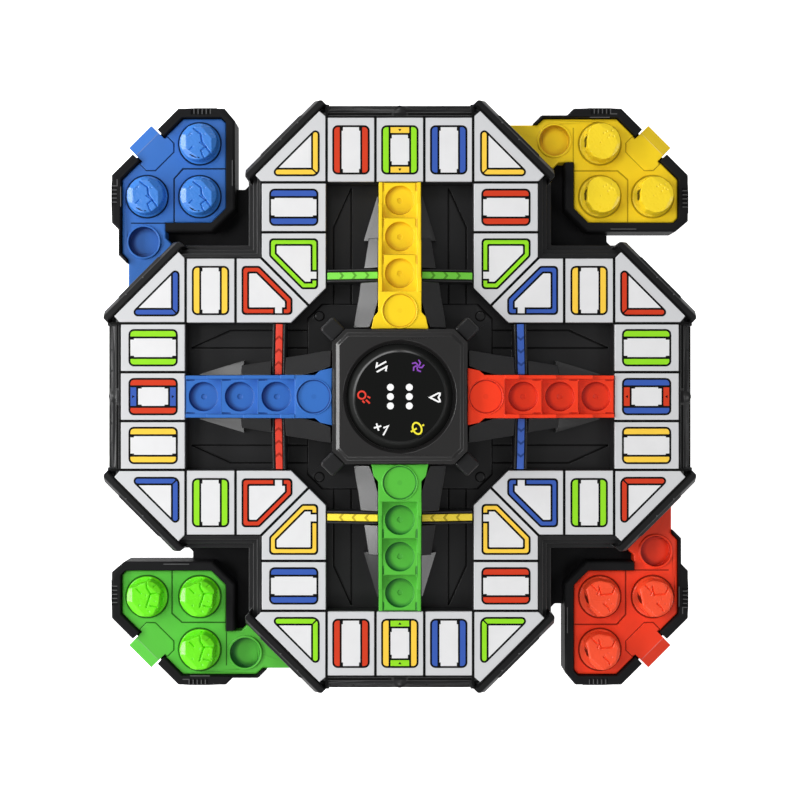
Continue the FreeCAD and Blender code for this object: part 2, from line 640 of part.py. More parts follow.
def make_home_stair():
    levels = lane_levels()
    bounds, seats = lane_bounds()
    blocks = [prism(flare_outline(), PLATFORM_TOP, levels[3])]
    rail_ends = [bounds[0][0]] + [seat - LANE_RAIL_LAG for seat in seats[:3]] + [bounds[3][0]]
    for step, (level, (far, near)) in enumerate(zip(levels, bounds)):
        blocks.append(box(-LANE_HALF, LANE_HALF, near, far, FLOOR_TOP, level))
        rail = box(-LANE_HALF, LANE_RAIL_WIDTH - LANE_HALF, rail_ends[step + 1], rail_ends[step],
                   FLOOR_TOP, level + LANE_RAIL_HEIGHT)
        blocks += both_sides(rail)
    stair = joined(blocks).cut(box(-LANE_HALF * 2, LANE_HALF * 2, 0, PLATFORM_HALF + LANE_GAP,
                                   FLOOR_TOP - 1, PLATFORM_TOP))
    hollow_half = LANE_HALF - LANE_WALL
    hollows = []
    for level, (far, near) in zip(levels, bounds):
        hollows.append(box(-hollow_half, hollow_half, near + LANE_WALL, far - LANE_WALL,
                           FLOOR_TOP - 1, level - LANE_TREAD))
    rim = cylinder(0, seats[3], TOP_SEAT_RADIUS + TOP_SEAT_RIM, levels[3] - 0.5,
                   levels[3] + TOP_SEAT_RIM_HEIGHT)
    stair = stair.cut(hollows).fuse(rim).removeSplitter()
    cuts = [cylinder(0, seats[3], TOP_SEAT_RADIUS, levels[3] - TOP_SEAT_DEPTH, levels[3] + 1)]
    slit_side = LANE_HALF - LANE_RAIL_WIDTH - SLIT_GAP
    for level, seat, (far, _) in zip(levels[:3], seats[:3], bounds[:3]):
        low = level - CUP_DEPTH
        brim = level + 0.2
        cup = [(0, low), (CUP_FLOOR_RADIUS, low), (CUP_RADIUS, level), (CUP_RADIUS, brim), (0, brim)]
        cuts.append(revolved(cup, 0, seat))
        cuts.append(cylinder(0, seat, CUP_DIMPLE_RADIUS, low - CUP_DIMPLE_DEPTH, level))
        slit_end = far - SLIT_GAP
        cuts += both_sides(box(slit_side - SLIT_WIDTH, slit_side, slit_end - SLIT_LENGTH, slit_end,
                               level - SLIT_DEPTH, level + 0.2))
    stair = stair.cut(cuts)
    for quarter, colour in enumerate(COLOURS):
        export("home_stair_" + colour, [turned(stair, quarter)])


# Tower, its posts and the dice button
def chamfered_square(half, cut):
    corner = [(-half, half - cut), (-half + cut, half)]
    return [place for quarter in range(4) for place in turn_points(corner, quarter)]


def make_tower():
    outline = chamfered_square(TOWER_HALF, TOWER_CHAMFER)
    ceiling = TOWER_TOP - TOWER_PLATE
    ledge = TOWER_TOP - TOWER_SLOPE_RISE
    strip = []
    for height, inset in ((ledge, TOWER_LEDGE), (TOWER_TOP, TOWER_LEDGE + TOWER_SLOPE)):
        corners = [point(x, y, height) for x, y in offset(outline, -inset)]
        strip.append(Part.makePolygon(corners + corners[:1]))
    shell = joined([prism(outline, PLATFORM_TOP, ledge), Part.makeLoft(strip, True, True)])
    notch = box(-TOWER_NOTCH_HALF, TOWER_NOTCH_HALF, TOWER_HALF - TOWER_NOTCH, TOWER_HALF + 1,
                TOWER_TOP - TOWER_NOTCH_DROP, TOWER_TOP + 1)
    shell = shell.cut([
        prism(offset(outline, -TOWER_WALL), PLATFORM_TOP - 1, ceiling),
        cylinder(0, 0, WELL_RADIUS, ceiling - 1, TOWER_TOP + 1),
        Part.makeCone(WELL_RADIUS, WELL_RADIUS + WELL_LEAD, WELL_LEAD, point(0, 0, TOWER_TOP - WELL_LEAD)),
    ] + four_ways([notch]))
    bosses, webs, pilots = [], [], []
    reach = TOWER_HALF - TOWER_WALL / 2
    for x, y in tower_screw_places():
        end = math.copysign(reach, x)
        bosses.append(cylinder(x, y, BOSS_RADIUS - 0.4, PLATFORM_TOP, board_low()))
        webs.append(box(min(x, end), max(x, end), y - 0.8, y + 0.8, PLATFORM_TOP, board_low()))
        pilots.append(cylinder(x, y, SCREW_RADIUS, PLATFORM_TOP - 1, board_low() + 1))
    export("tower_housing", [joined([shell] + bosses + webs).cut(pilots)])
    export("corner_posts", four_ways([corner_post()]))


def corner_post():
    centre = (TOWER_HALF * 2 - TOWER_CHAMFER) / ROOT + POST_WIDTH / 2
    outline = [diagonal(centre + x, y) for x, y in chamfered_square(POST_WIDTH / 2, POST_CORNER)]
    return softened(prism(outline, PLATFORM_TOP, POST_TOP), POST_TOP, POST_EDGE)


def board_low():
    """Underside of the main board."""
    return PLATFORM_TOP + BOARD_RAISE


def board_top():
    return board_low() + BOARD_THICK


def pip_places():
    return [(column * PIP_COLUMN, row * PIP_ROW) for column in (-1, 1) for row in (-1, 0, 1)]


def circle_places(radius, count, start=0.0):
    return [(radius * math.cos(start + 2 * math.pi * step / count),
             radius * math.sin(start + 2 * math.pi * step / count)) for step in range(count)]


def make_dice_button():
    face_radius = BUTTON_RADIUS - BUTTON_BEVEL
    shoulder = BUTTON_TOP - BUTTON_BEVEL_DROP
    inside = BUTTON_RADIUS - BUTTON_WALL
    flange_top = TOWER_TOP - TOWER_PLATE - FLANGE_GAP
    ceiling = BUTTON_TOP - BUTTON_WALL
    cap = revolved([(0, CARRIER_LOW), (BUTTON_RADIUS, CARRIER_LOW), (BUTTON_RADIUS, shoulder),
                    (face_radius, BUTTON_TOP), (0, BUTTON_TOP)])
    hollow = revolved([(0, CARRIER_LOW - 1), (inside, CARRIER_LOW - 1), (inside, shoulder - 0.7),
                       (face_radius - 1.4, ceiling), (0, ceiling)])
    flange = cylinder(0, 0, BUTTON_RADIUS + BUTTON_FLANGE, flange_top - FLANGE_THICK, flange_top)
    export("dice_cap", [cap.fuse(flange).cut(hollow).removeSplitter()])
    carrier_top = CARRIER_LOW + CARRIER_THICK
    stem_low = board_top() + DICE_SWITCH_HEIGHT + BUTTON_TRAVEL + STEM_GAP
    carrier = joined([cylinder(0, 0, inside - CARRIER_FIT, CARRIER_LOW, carrier_top),
                      cylinder(0, 0, STEM_RADIUS, stem_low, CARRIER_LOW + 0.5)]
                     + [cylinder(x, y, 1.6, carrier_top, carrier_top + CARRIER_POST)
                        for x, y in circle_places(14.0, 4, 0.5)])
    export("button_carrier", [carrier])
    lamp_low = carrier_top + CARRIER_POST
    lamp_top = lamp_low + LAMP_BOARD_THICK
    lamp_radius = face_radius - LAMP_MARGIN
    export("lamp_board", [cylinder(0, 0, lamp_radius, lamp_low, lamp_top)])
    pips = [cylinder(x, y, 2.0, lamp_top - 1, BUTTON_TOP) for x, y in pip_places()]
    signs = [cylinder(x, y, 3.6, lamp_top - 1, BUTTON_TOP) for x, y in circle_places(ICON_CIRCLE, 6)]
    shroud = cylinder(0, 0, lamp_radius, lamp_top, ceiling - 0.2)
    export("light_shroud", [shroud.cut(pips + signs)])


def helix_spring(radius, wire, turns, low, high):
    """A coil of round wire between two flat seats."""
    pitch = (high - low - wire) / turns
    path = Part.makeHelix(pitch, high - low - wire, radius)
    path.translate(point(0, 0, low + wire / 2))
    start = path.Edges[0].valueAt(path.Edges[0].FirstParameter)
    tangent = path.Edges[0].tangentAt(path.Edges[0].FirstParameter)
    section = Part.Wire(Part.makeCircle(wire / 2, start, tangent))
    return Part.Wire(path.Edges).makePipeShell([section], True, True)


def make_main_board():
    low, top = board_low(), board_top()
    half = TOWER_HALF - TOWER_WALL - 1.0
    board = joined([
        prism(chamfered_square(half, TOWER_CHAMFER), low, top),
        box(*SOUND_CHIP, top, top + SOUND_CHIP_HEIGHT),
        cylinder(*CAPACITOR_PLACE, CAPACITOR_RADIUS, top, top + CAPACITOR_HEIGHT),
        box(*LEAD_SOCKET, top, top + LEAD_SOCKET_HEIGHT),
    ])
    holes = [cylinder(x, y, SCREW_RADIUS + SCREW_HOLE_FIT, low - 1, top + 1)
             for x, y in tower_screw_places()]
    export("main_board", [board.cut(holes)])
    base = box(-3.1, 3.1, -3.1, 3.1, top, top + DICE_SWITCH_BASE)
    tip = cylinder(0, 0, 1.7, top + DICE_SWITCH_BASE, top + DICE_SWITCH_HEIGHT)
    export("dice_switch", [base.fuse(tip)])
    export("dice_spring", [helix_spring(SPRING_RADIUS, SPRING_WIRE, SPRING_TURNS, top, CARRIER_LOW)])


# Bottom shell and what it holds
def feet_places():
    return [(-30.0, ARM_REACH - 13.4), (30.0, ARM_REACH - 13.4)]


def speaker_holes():
    x, y = SPEAKER_PLACE
    rings = [(0.0, 0.0)] + circle_places(5.0, 6) + circle_places(10.0, 12)
    return [cylinder(x + hx, y + hy, 1.1, SHELL_LOW - 1, SHELL_TOP + 1) for hx, hy in rings]


def bay_outline(grow=0.0):
    x, y = BAY_HALF_X + grow, BAY_HALF_Y + grow
    return [(-x, -y), (x, -y), (x, y), (-x, y)]


def door_outline():
    """The battery door: a plate over the bay with an ear at each end for its screw."""
    side, lap, end = BAY_HALF_X + DOOR_LEDGE, BAY_HALF_Y + DOOR_LEDGE, BAY_HALF_Y + DOOR_EAR
    half = [(-side, lap), (-DOOR_EAR_HALF - 4.0, lap), (-DOOR_EAR_HALF, end),
            (DOOR_EAR_HALF, end), (DOOR_EAR_HALF + 4.0, lap), (side, lap)]
    return half + [(-x, -y) for x, y in half]


def door_screw_places():
    return [(0.0, BAY_HALF_Y + DOOR_EAR / 2), (0.0, -BAY_HALF_Y - DOOR_EAR / 2)]


def switch_left():
    """The left end of the power knob, in its off position."""
    return SWITCH_PLACE[0] - (SWITCH_KNOB + SWITCH_TRAVEL) / 2


def switch_room(ends, sides, low, high):
    """Room for the knob and its travel, with more at the ends and sides."""
    left = switch_left() - SWITCH_FIT - ends
    right = switch_left() + SWITCH_KNOB + SWITCH_TRAVEL + SWITCH_FIT + ends
    y, half = SWITCH_PLACE[1], SWITCH_KNOB_HALF + SWITCH_FIT + sides
    return box(left, right, y - half, y + half, low, high)


def start_across():
    """v of the start cup."""
    return (START_Y - START_X) / ROOT


def make_bottom_shell():
    shell = prism(board_outline(SHELL_INSET), SHELL_LOW, DECK_LOW)
    shell = shell.cut(prism(board_outline(SHELL_INSET + SHELL_WALL), SHELL_TOP, DECK_LOW + 1))
    posts = [cylinder(x, y, BOSS_RADIUS, SHELL_TOP, FLOOR_LOW)
             for x, y in ((7.1 - WELL_HALF, WELL_END - 6.6), (WELL_HALF - 7.1, WELL_END - 6.6),
                          (7.5 - BEND_SUM / 2, BEND_SUM / 2 - 7.5))]
    walls = prism(bay_outline(BAY_WALL), SHELL_LOW, FLOOR_LOW - 0.3)
    speaker_x, speaker_y = SPEAKER_PLACE
    ring = cylinder(speaker_x, speaker_y, SPEAKER_RADIUS + 1.9, SHELL_TOP, SHELL_TOP + 4.0)
    bosses = [cylinder(x, y, DOOR_BOSS_RADIUS, SHELL_LOW, SHELL_TOP + 6.0) for x, y in door_screw_places()]
    shell = joined([shell, walls, ring] + bosses + four_ways(posts))
    cuts = [
        prism(bay_outline(), SHELL_LOW - 1, FLOOR_LOW),
        cylinder(speaker_x, speaker_y, SPEAKER_RADIUS + 0.3, SHELL_TOP, SHELL_TOP + 6.0),
        prism(door_outline(), SHELL_LOW - 1, SHELL_LOW + DOOR_THICK + DOOR_FIT / 2),
        switch_room(0.0, 0.0, SHELL_LOW - 1, SHELL_TOP + 1),
    ]
    cuts += [cylinder(x, y, SCREW_RADIUS, SHELL_LOW - 1, SHELL_TOP + 5.0) for x, y in door_screw_places()]
    shell = shell.cut(cuts + speaker_holes() + four_ways(quarter_cuts()))
    export("bottom_shell", [shell])


def quarter_cuts():
    """What is cut from the shell in each quarter: the ways for a tray, screw holes and foot recesses."""
    band = BAND_SUM / ROOT
    side = TONGUE_HALF + SLIDE_FIT
    across = start_across()
    cuts = [
        diagonal_box(TONGUE_END - 1.0, band + 10.0, -side, side, SHELL_TOP, TRAY_PLATE_TOP + SLIDE_FIT),
        diagonal_box(band - START_REACH - START_CLEAR, band + 10.0, across - 25.6, across + 5.4,
                     SHELL_TOP, DECK_LOW + 1),
    ]
    cuts += [cylinder(x, y, SCREW_RADIUS + SCREW_HOLE_FIT, SHELL_LOW - 1, SHELL_TOP + 1)
             for x, y in screw_places()]
    cuts += [cylinder(x, y, FOOT_RADIUS + 0.1, SHELL_LOW - 1, SHELL_LOW + FOOT_RECESS)
             for x, y in feet_places()]
    return cuts


def screws(places, seat, head, length):
    """Screws whose heads are below the seat and whose shanks go up."""
    shapes = []
    for x, y in places:
        shank = cylinder(x, y, SCREW_RADIUS - SCREW_THREAD_FIT, seat, seat + length)
        shapes.append(cylinder(x, y, SCREW_HEAD_RADIUS, seat - head, seat).fuse(shank).removeSplitter())
    return shapes


def make_bottom_fittings():
    feet = [softened(cylinder(x, y, FOOT_RADIUS, 0.0, SHELL_LOW + FOOT_RECESS), 0.0, 0.4)
            for x, y in feet_places()]
    export("rubber_feet", four_ways(feet))
    shell_length = SHELL_PLATE + SCREW_LENGTH - 1.0
    tower_seat = FLOOR_LOW + SCREW_HEAD
    tower_length = board_low() - tower_seat - 0.6
    export("shell_screws", four_ways(screws(screw_places(), SHELL_LOW, FLAT_HEAD, shell_length)))
    export("tower_screws", screws(tower_screw_places(), tower_seat, SCREW_HEAD, tower_length))
    export("door_screws", screws(door_screw_places(), SHELL_LOW, FLAT_HEAD, 6.0))


def make_batteries():
    cells, contacts = [], []
    centre_z = CELL_LOW + CELL_RADIUS
    north = point(0, 1, 0)
    end = (CELL_LENGTH - CELL_TIP) / 2
    plate_y = BAY_HALF_Y - 0.5
    for index in (-1, 0, 1):
        x = index * CELL_PITCH
        body = Part.makeCylinder(CELL_RADIUS, 2 * end, point(x, -end, centre_z), north)
        tip = Part.makeCylinder(CELL_TIP_RADIUS, CELL_TIP, point(x, end, centre_z), north)
        plates = [box(x - 5.0, x + 5.0, y, y + CONTACT_THICK, centre_z - 5.5, centre_z + 5.5)
                  for y in (plate_y, -plate_y - CONTACT_THICK)]
        tip_end = end + CELL_TIP + 0.05
        nub = Part.makeCylinder(2.0, plate_y - tip_end, point(x, tip_end, centre_z), north)
        cup = Part.makeCone(4.6, 3.0, plate_y - end - 0.05, point(x, -plate_y, centre_z), north)
        cell = body.fuse(tip).removeSplitter()
        fittings = [plates[0].fuse(nub).removeSplitter(), plates[1].fuse(cup).removeSplitter()]
        if index == 0:
            for shape in [cell] + fittings:
                shape.rotate(point(x, 0, centre_z), point(0, 0, 1), 180)
        cells.append(cell)
        contacts += fittings
    export("battery_cells", cells)
    export("battery_contacts", contacts)


def make_battery_door():
    low, high = SHELL_LOW, SHELL_LOW + DOOR_THICK
    plate = prism(offset(door_outline(), -DOOR_FIT), low, high)
    grips = [box(-8.0, 8.0, y, y + 0.7, low - 0.4, low) for y in (17.0, 19.0, 21.0, 23.0)]
    holes = [cylinder(x, y, SCREW_RADIUS + SCREW_HOLE_FIT, low - 1, high + 1)
             for x, y in door_screw_places()]
    export("battery_door", [joined([plate] + grips).cut(holes)])


def make_speaker_and_switch():
    x, y = SPEAKER_PLACE
    cone_low = SHELL_TOP + SPEAKER_FRAME
    magnet_low = cone_low + SPEAKER_CONE
    speaker = joined([
        cylinder(x, y, SPEAKER_RADIUS, SHELL_TOP, cone_low),
        Part.makeCone(SPEAKER_RADIUS - 1.5, SPEAKER_RADIUS - 7.0, SPEAKER_CONE, point(x, y, cone_low)),
        cylinder(x, y, SPEAKER_RADIUS - 7.5, magnet_low, magnet_low + SPEAKER_MAGNET),
    ])
    export("speaker", [speaker])
    base_low, base_top = SHELL_TOP + 0.5, SHELL_TOP + 3.2
    body = switch_room(SWITCH_SKIRT + 2.2, 1.5, SHELL_TOP, SHELL_TOP + 5.0)
    inside = switch_room(SWITCH_SKIRT, 0.0, SHELL_TOP - 1, base_top + SWITCH_FIT)
    export("power_switch", [body.cut(inside)])
    left, right = switch_left(), switch_left() + SWITCH_KNOB
    low, high = SWITCH_PLACE[1] - SWITCH_KNOB_HALF, SWITCH_PLACE[1] + SWITCH_KNOB_HALF
    knob = box(left, right, low, high, SHELL_LOW - 0.4, base_low)
    base = box(left - SWITCH_SKIRT, right + SWITCH_SKIRT, low, high, base_low, base_top)
    slits = [box(left + start, left + start + 0.5, low - 1, high + 1, SHELL_LOW - 0.5, SHELL_LOW)
             for start in (0.5, 1.7, 2.9)]
    export("power_slider", [knob.fuse(base).cut(slits).removeSplitter()])


# Corner trays
def rim_outline():
    near, far = TRAY_NEAR, TRAY_FAR
    return [
        (-far, far - TRAY_CUT), (-far + TRAY_CUT, far), (-near - 5.2, far), (-near, far - 6.2),
        (-near, near + 11.1), (-near - 11.1, near), (-START_X + 9.8, near), (-START_X + 9.8, START_Y - 10.7),
        (-START_X - 8.1, START_Y - 10.7), (-START_X - 12.3, START_Y - 6.5), (-START_X - 12.3, START_Y + 6.1),
        (-far, START_Y + 9.4),
    ]


def tray_plate_outline():
    """The plate under a tray, with the tongue that runs into the bottom shell."""
    rim = rim_outline()
    foot = START_Y - 10.7
    wall = ARM_HALF - SHELL_INSET + 0.5
    slope = BAND_SUM - SHELL_INSET * ROOT + 0.8
    return rim[:4] + [
        (-TRAY_NEAR, FLANGE_END), (-TRAY_NEAR + 3.8, FLANGE_END), (-wall - 2.0, FLANGE_END + 2.5),
        (-wall, FLANGE_END + 2.5), (-wall, wall + TONGUE_HALF * ROOT), diagonal(TONGUE_END, TONGUE_HALF),
        diagonal(TONGUE_END, -TONGUE_HALF), (-TONGUE_HALF * ROOT - wall, wall),
        (wall - slope, wall), (foot - slope, foot),
    ] + rim[8:]


def insert_outline():
    near, far = TRAY_NEAR + TRAY_NEAR_WALL, TRAY_FAR - TRAY_FAR_WALL
    corner = 2 * TRAY_FAR - TRAY_CUT - 6.8 - far
    end, across = BAND_SUM / ROOT - START_REACH, start_across()
    under = START_X + 7.8
    return [
        (-far, corner), (-corner, far), (-near - 2.1, far), (-near, far - 2.1),
        (-near, near + 7.0), (-near - 7.0, near), (-START_X + 10.7, near), (-START_X + 10.7, START_Y + 2.1),
        (-START_X + 13.4, START_Y - 0.6), diagonal(end, across - 5.0), diagonal(end, across - 17.7),
        diagonal(end + 5.0, across - 22.7), (-under, BAND_SUM + 1.0 - under), (-under, START_Y - 8.7),
        (-far, START_Y - 5.6),
    ]


def seat_places():
    return [(-SEAT_NEAR, SEAT_FAR), (-SEAT_NEAR, SEAT_NEAR), (-SEAT_FAR, SEAT_NEAR)]


def make_tray_frame():
    rim = softened(prism(rim_outline(), 0.0, RIM_TOP), RIM_TOP, RIM_EDGE)
    under = prism(offset(rim_outline(), -RIM_WALL), -1.0, TRAY_PLATE_LOW)
    plate = prism(tray_plate_outline(), TRAY_PLATE_LOW, TRAY_PLATE_TOP)
    pocket = prism(offset(insert_outline(), TRAY_FIT), TRAY_PLATE_TOP, RIM_TOP + 1)
    notch = diagonal_box(TAB_NOTCH_START, TRAY_CORNER + 10.0, -TAB_NOTCH_HALF, TAB_NOTCH_HALF,
                         TAB_TOP - TAB_THICK - TRAY_FIT, RIM_TOP + 1)
    deep = diagonal_box(TAB_NOTCH_DEEP, TRAY_CORNER + 10.0, -TAB_NOTCH_HALF, TAB_NOTCH_HALF,
                        -1.0, RIM_TOP + 1)
    slits = []
    for step in range(RIM_RIBS):
        x, y = -SEAT_NEAR - 0.8 + step * 2.0, SEAT_NEAR - 4.5 + step * 2.0
        slits.append(box(x, x + 1.0, TRAY_FAR - 3.2, TRAY_FAR + 1.0, RIM_TOP - 0.8, RIM_TOP + 1))
        slits.append(box(-TRAY_FAR - 1.0, 3.0 - TRAY_FAR, y, y + 1.0, RIM_TOP - 0.8, RIM_TOP + 1))
    return rim.cut(under).fuse(plate).cut([pocket, notch, deep] + slits).removeSplitter()


def make_tray_insert():
    outline = insert_outline()
    insert = softened(prism(outline, TRAY_PLATE_TOP, INSERT_TOP), INSERT_TOP, 0.5)
    insert = insert.cut(prism(offset(outline, -INSERT_WALL), TRAY_PLATE_TOP - 1, INSERT_TOP - INSERT_PLATE))
    seat = INSERT_TOP - SEAT_DEPTH
    bosses = [cylinder(-START_X, START_Y, START_RIM_RADIUS, TRAY_PLATE_TOP, INSERT_TOP + START_RIM_HEIGHT)]
    cuts = [cylinder(-START_X, START_Y, START_CUP_RADIUS, INSERT_TOP - START_CUP_DEPTH, INSERT_TOP + 3)]
    for x, y in seat_places():
        bosses.append(cylinder(x, y, PEG_RADIUS + PEG_FIT + SEAT_BOSS_WALL, TRAY_PLATE_TOP, seat))
        cuts.append(cylinder(x, y, SEAT_RADIUS, seat, INSERT_TOP + 1))
        cuts.append(cylinder(x, y, PEG_RADIUS + PEG_FIT, seat - PEG_LENGTH - SEAT_GAP, INSERT_TOP))
    panel = [diagonal(u, v) for u, v in tab_panel(TAB_PANEL_END + 1.2)]
    cuts.append(prism(offset(panel, 0.15), TAB_TOP - TAB_THICK, INSERT_TOP + 1))
    low, high = INSERT_TOP - LINE_DEPTH, INSERT_TOP + 1
    line_x, line_y = -SEAT_NEAR - 13.0, SEAT_NEAR + 13.4
    near = TRAY_NEAR + TRAY_NEAR_WALL - 1.0
    cuts += [
        box(line_x, line_x + LINE_WIDTH, near, line_y - 4.4, low, high),
        box(line_x + 4.5, -near, line_y, line_y + LINE_WIDTH, low, high),
        prism([(line_x, line_y - 4.5), (line_x + LINE_WIDTH, line_y - 4.8), (line_x + 4.8, line_y),
               (line_x + 4.5, line_y + LINE_WIDTH)], low, high),
    ]
    return joined([insert] + bosses).cut(cuts).removeSplitter()


def tab_panel(end):
    start, cut, half = TAB_PANEL_START, TAB_PANEL_CORNER, TAB_PANEL_HALF
    return [(start, cut - half), (start + cut, -half), (end, -half), (end, half),
            (start + cut, half), (start, half - cut)]


def make_pull_tab():
    low = TAB_TOP - TAB_THICK
    panel = prism([diagonal(u, v) for u, v in tab_panel(TAB_PANEL_END)], low, TAB_TOP)
    neck = diagonal_box(TAB_PANEL_END - 1.4, TAB_CREASE, -TAB_HALF, TAB_HALF, low, TAB_TOP)
    bend = TAB_CREASE - 0.2
    side = [(bend, TAB_TOP), (TAB_EDGE, TAB_TOP - TAB_DROP), (TAB_EDGE, low - TAB_DROP), (bend, low)]
    corners = [point(*diagonal(u, -TAB_HALF), z) for u, z in side]
    lip = Part.Face(Part.makePolygon(corners + corners[:1])).extrude(point(*diagonal(0, 2 * TAB_HALF)))
    return joined([panel, neck, lip])


def make_token(x, y):
    """A token: a round peg, a lip that rests on the seat, and a faceted stone-like head."""
    seat = INSERT_TOP - SEAT_DEPTH + SEAT_GAP
    top = seat + TOKEN_HEAD
    low = seat - PEG_LENGTH
    body = revolved([(0, low), (PEG_RADIUS - 0.6, low), (PEG_RADIUS, low + 0.6), (PEG_RADIUS, seat),
                     (TOKEN_RADIUS, seat), (TOKEN_RADIUS, seat + TOKEN_LIP),
                     (TOKEN_RADIUS * 0.93, seat + TOKEN_HEAD * 0.47),
                     (TOKEN_RADIUS * 0.74, seat + TOKEN_HEAD * 0.8), (TOKEN_RADIUS * 0.42, top), (0, top)])
    size = 3 * TOKEN_RADIUS
    facets = []
    for step in range(TOKEN_FACETS):
        kind = step % 3
        facet = Part.makeBox(size, size, size, point(0, -size / 2, -size / 2))
        facet.rotate(point(0, 0), point(0, 1, 0), -38 - 9 * kind)
        facet.translate(point(TOKEN_RADIUS * (0.80 + 0.07 * kind), 0, seat + TOKEN_HEAD * 0.51))
        facet.rotate(point(0, 0), point(0, 0, 1), 360.0 * step / TOKEN_FACETS + 17.0 * (step % 2))
        facets.append(facet)
    base = body.common(cylinder(0, 0, TOKEN_RADIUS, low, seat + TOKEN_LIP))
    token = body.cut(facets).fuse(base).removeSplitter()
    token.translate(point(x, y))
    return token


def make_trays():
    frame = make_tray_frame()
    insert = make_tray_insert()
    tab = make_pull_tab()
    tokens = [make_token(x, y) for x, y in seat_places()]
    for quarter, colour in enumerate(TRAY_COLOURS):
        export("tray_frame_" + colour, [turned(frame, quarter)])
        export("tray_insert_" + colour, [turned(insert, quarter)])
        export("pull_tab_" + colour, [turned(tab, quarter)])
        for index, token in enumerate(tokens):
            export("token_" + colour + "_" + str(index + 1), [turned(token, quarter)])


make_tiles()
make_ring_deck()
make_bridges()
make_sunken_floor()
make_rock_ridges()
make_home_stair()
make_tower()
make_dice_button()
make_main_board()
make_bottom_shell()
make_bottom_fittings()
make_batteries()
make_battery_door()
make_speaker_and_switch()
make_trays()
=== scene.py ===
import bpy
import bmesh
import json
from math import atan2, copysign, cos, degrees, hypot, pi, radians, sin, sqrt, tan
from mathutils import Matrix, Vector, noise

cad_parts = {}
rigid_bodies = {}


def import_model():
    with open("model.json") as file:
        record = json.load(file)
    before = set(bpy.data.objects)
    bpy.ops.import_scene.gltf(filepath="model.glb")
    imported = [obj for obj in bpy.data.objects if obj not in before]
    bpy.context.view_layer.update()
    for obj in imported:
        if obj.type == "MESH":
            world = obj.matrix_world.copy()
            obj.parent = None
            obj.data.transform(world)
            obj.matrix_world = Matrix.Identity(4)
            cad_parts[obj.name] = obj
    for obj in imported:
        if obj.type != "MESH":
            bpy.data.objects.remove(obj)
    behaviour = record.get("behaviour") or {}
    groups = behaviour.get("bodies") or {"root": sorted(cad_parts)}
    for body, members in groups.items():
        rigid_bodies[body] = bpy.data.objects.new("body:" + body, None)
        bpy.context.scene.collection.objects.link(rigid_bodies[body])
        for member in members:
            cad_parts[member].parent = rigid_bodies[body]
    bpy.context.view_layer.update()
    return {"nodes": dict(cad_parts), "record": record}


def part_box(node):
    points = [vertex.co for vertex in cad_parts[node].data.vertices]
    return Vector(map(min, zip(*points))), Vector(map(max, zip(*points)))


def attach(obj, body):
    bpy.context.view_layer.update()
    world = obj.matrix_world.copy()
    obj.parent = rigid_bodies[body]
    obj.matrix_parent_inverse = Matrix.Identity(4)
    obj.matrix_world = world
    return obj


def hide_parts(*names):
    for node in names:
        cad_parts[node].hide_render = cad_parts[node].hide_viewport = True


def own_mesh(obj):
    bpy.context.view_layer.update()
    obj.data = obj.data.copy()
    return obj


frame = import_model()
nodes = frame["nodes"]
bodies = frame["record"]["behaviour"]["bodies"]
bodyOf = {node: body for body, members in bodies.items() for node in members}
slotOf = {name: node.data.materials[0].name for name, node in nodes.items()}
for packed in list(bpy.data.materials):
    packed.name = "packed_" + packed.name
scene = bpy.context.scene
mm = 0.001
arms = ["north", "east", "south", "west"]
armTurn = {"north": 0, "east": -90, "south": 180, "west": 90}
trayTurn = {"blue": 0, "yellow": -90, "red": 180, "green": 90}
colours = ["yellow", "red", "green", "blue"]
print("frame loaded with", len(nodes), "nodes")


def operator(operation, reflected=False):
    def act(self, other):
        return self.sum(operation, other, self) if reflected else self.sum(operation, self, other)
    return act


# A Wire is a shader socket that takes part in Python sums
class Wire:
    def __init__(self, finish, socket):
        self.finish = finish
        self.socket = socket

    def sum(self, operation, first, second=0.0, third=0.0):
        return self.finish.node("ShaderNodeMath", {0: first, 1: second, 2: third}, operation=operation)

    __add__, __radd__ = operator("ADD"), operator("ADD", True)
    __sub__, __rsub__ = operator("SUBTRACT"), operator("SUBTRACT", True)
    __mul__, __rmul__ = operator("MULTIPLY"), operator("MULTIPLY", True)
    __truediv__, __pow__ = operator("DIVIDE"), operator("POWER")

    def wrap(self, half):
        return self.sum("WRAP", self, half, -half)

    def near(self, middle, half):
        # 1 where the value is within half of middle, else 0
        return self.sum("COMPARE", self, middle, half)


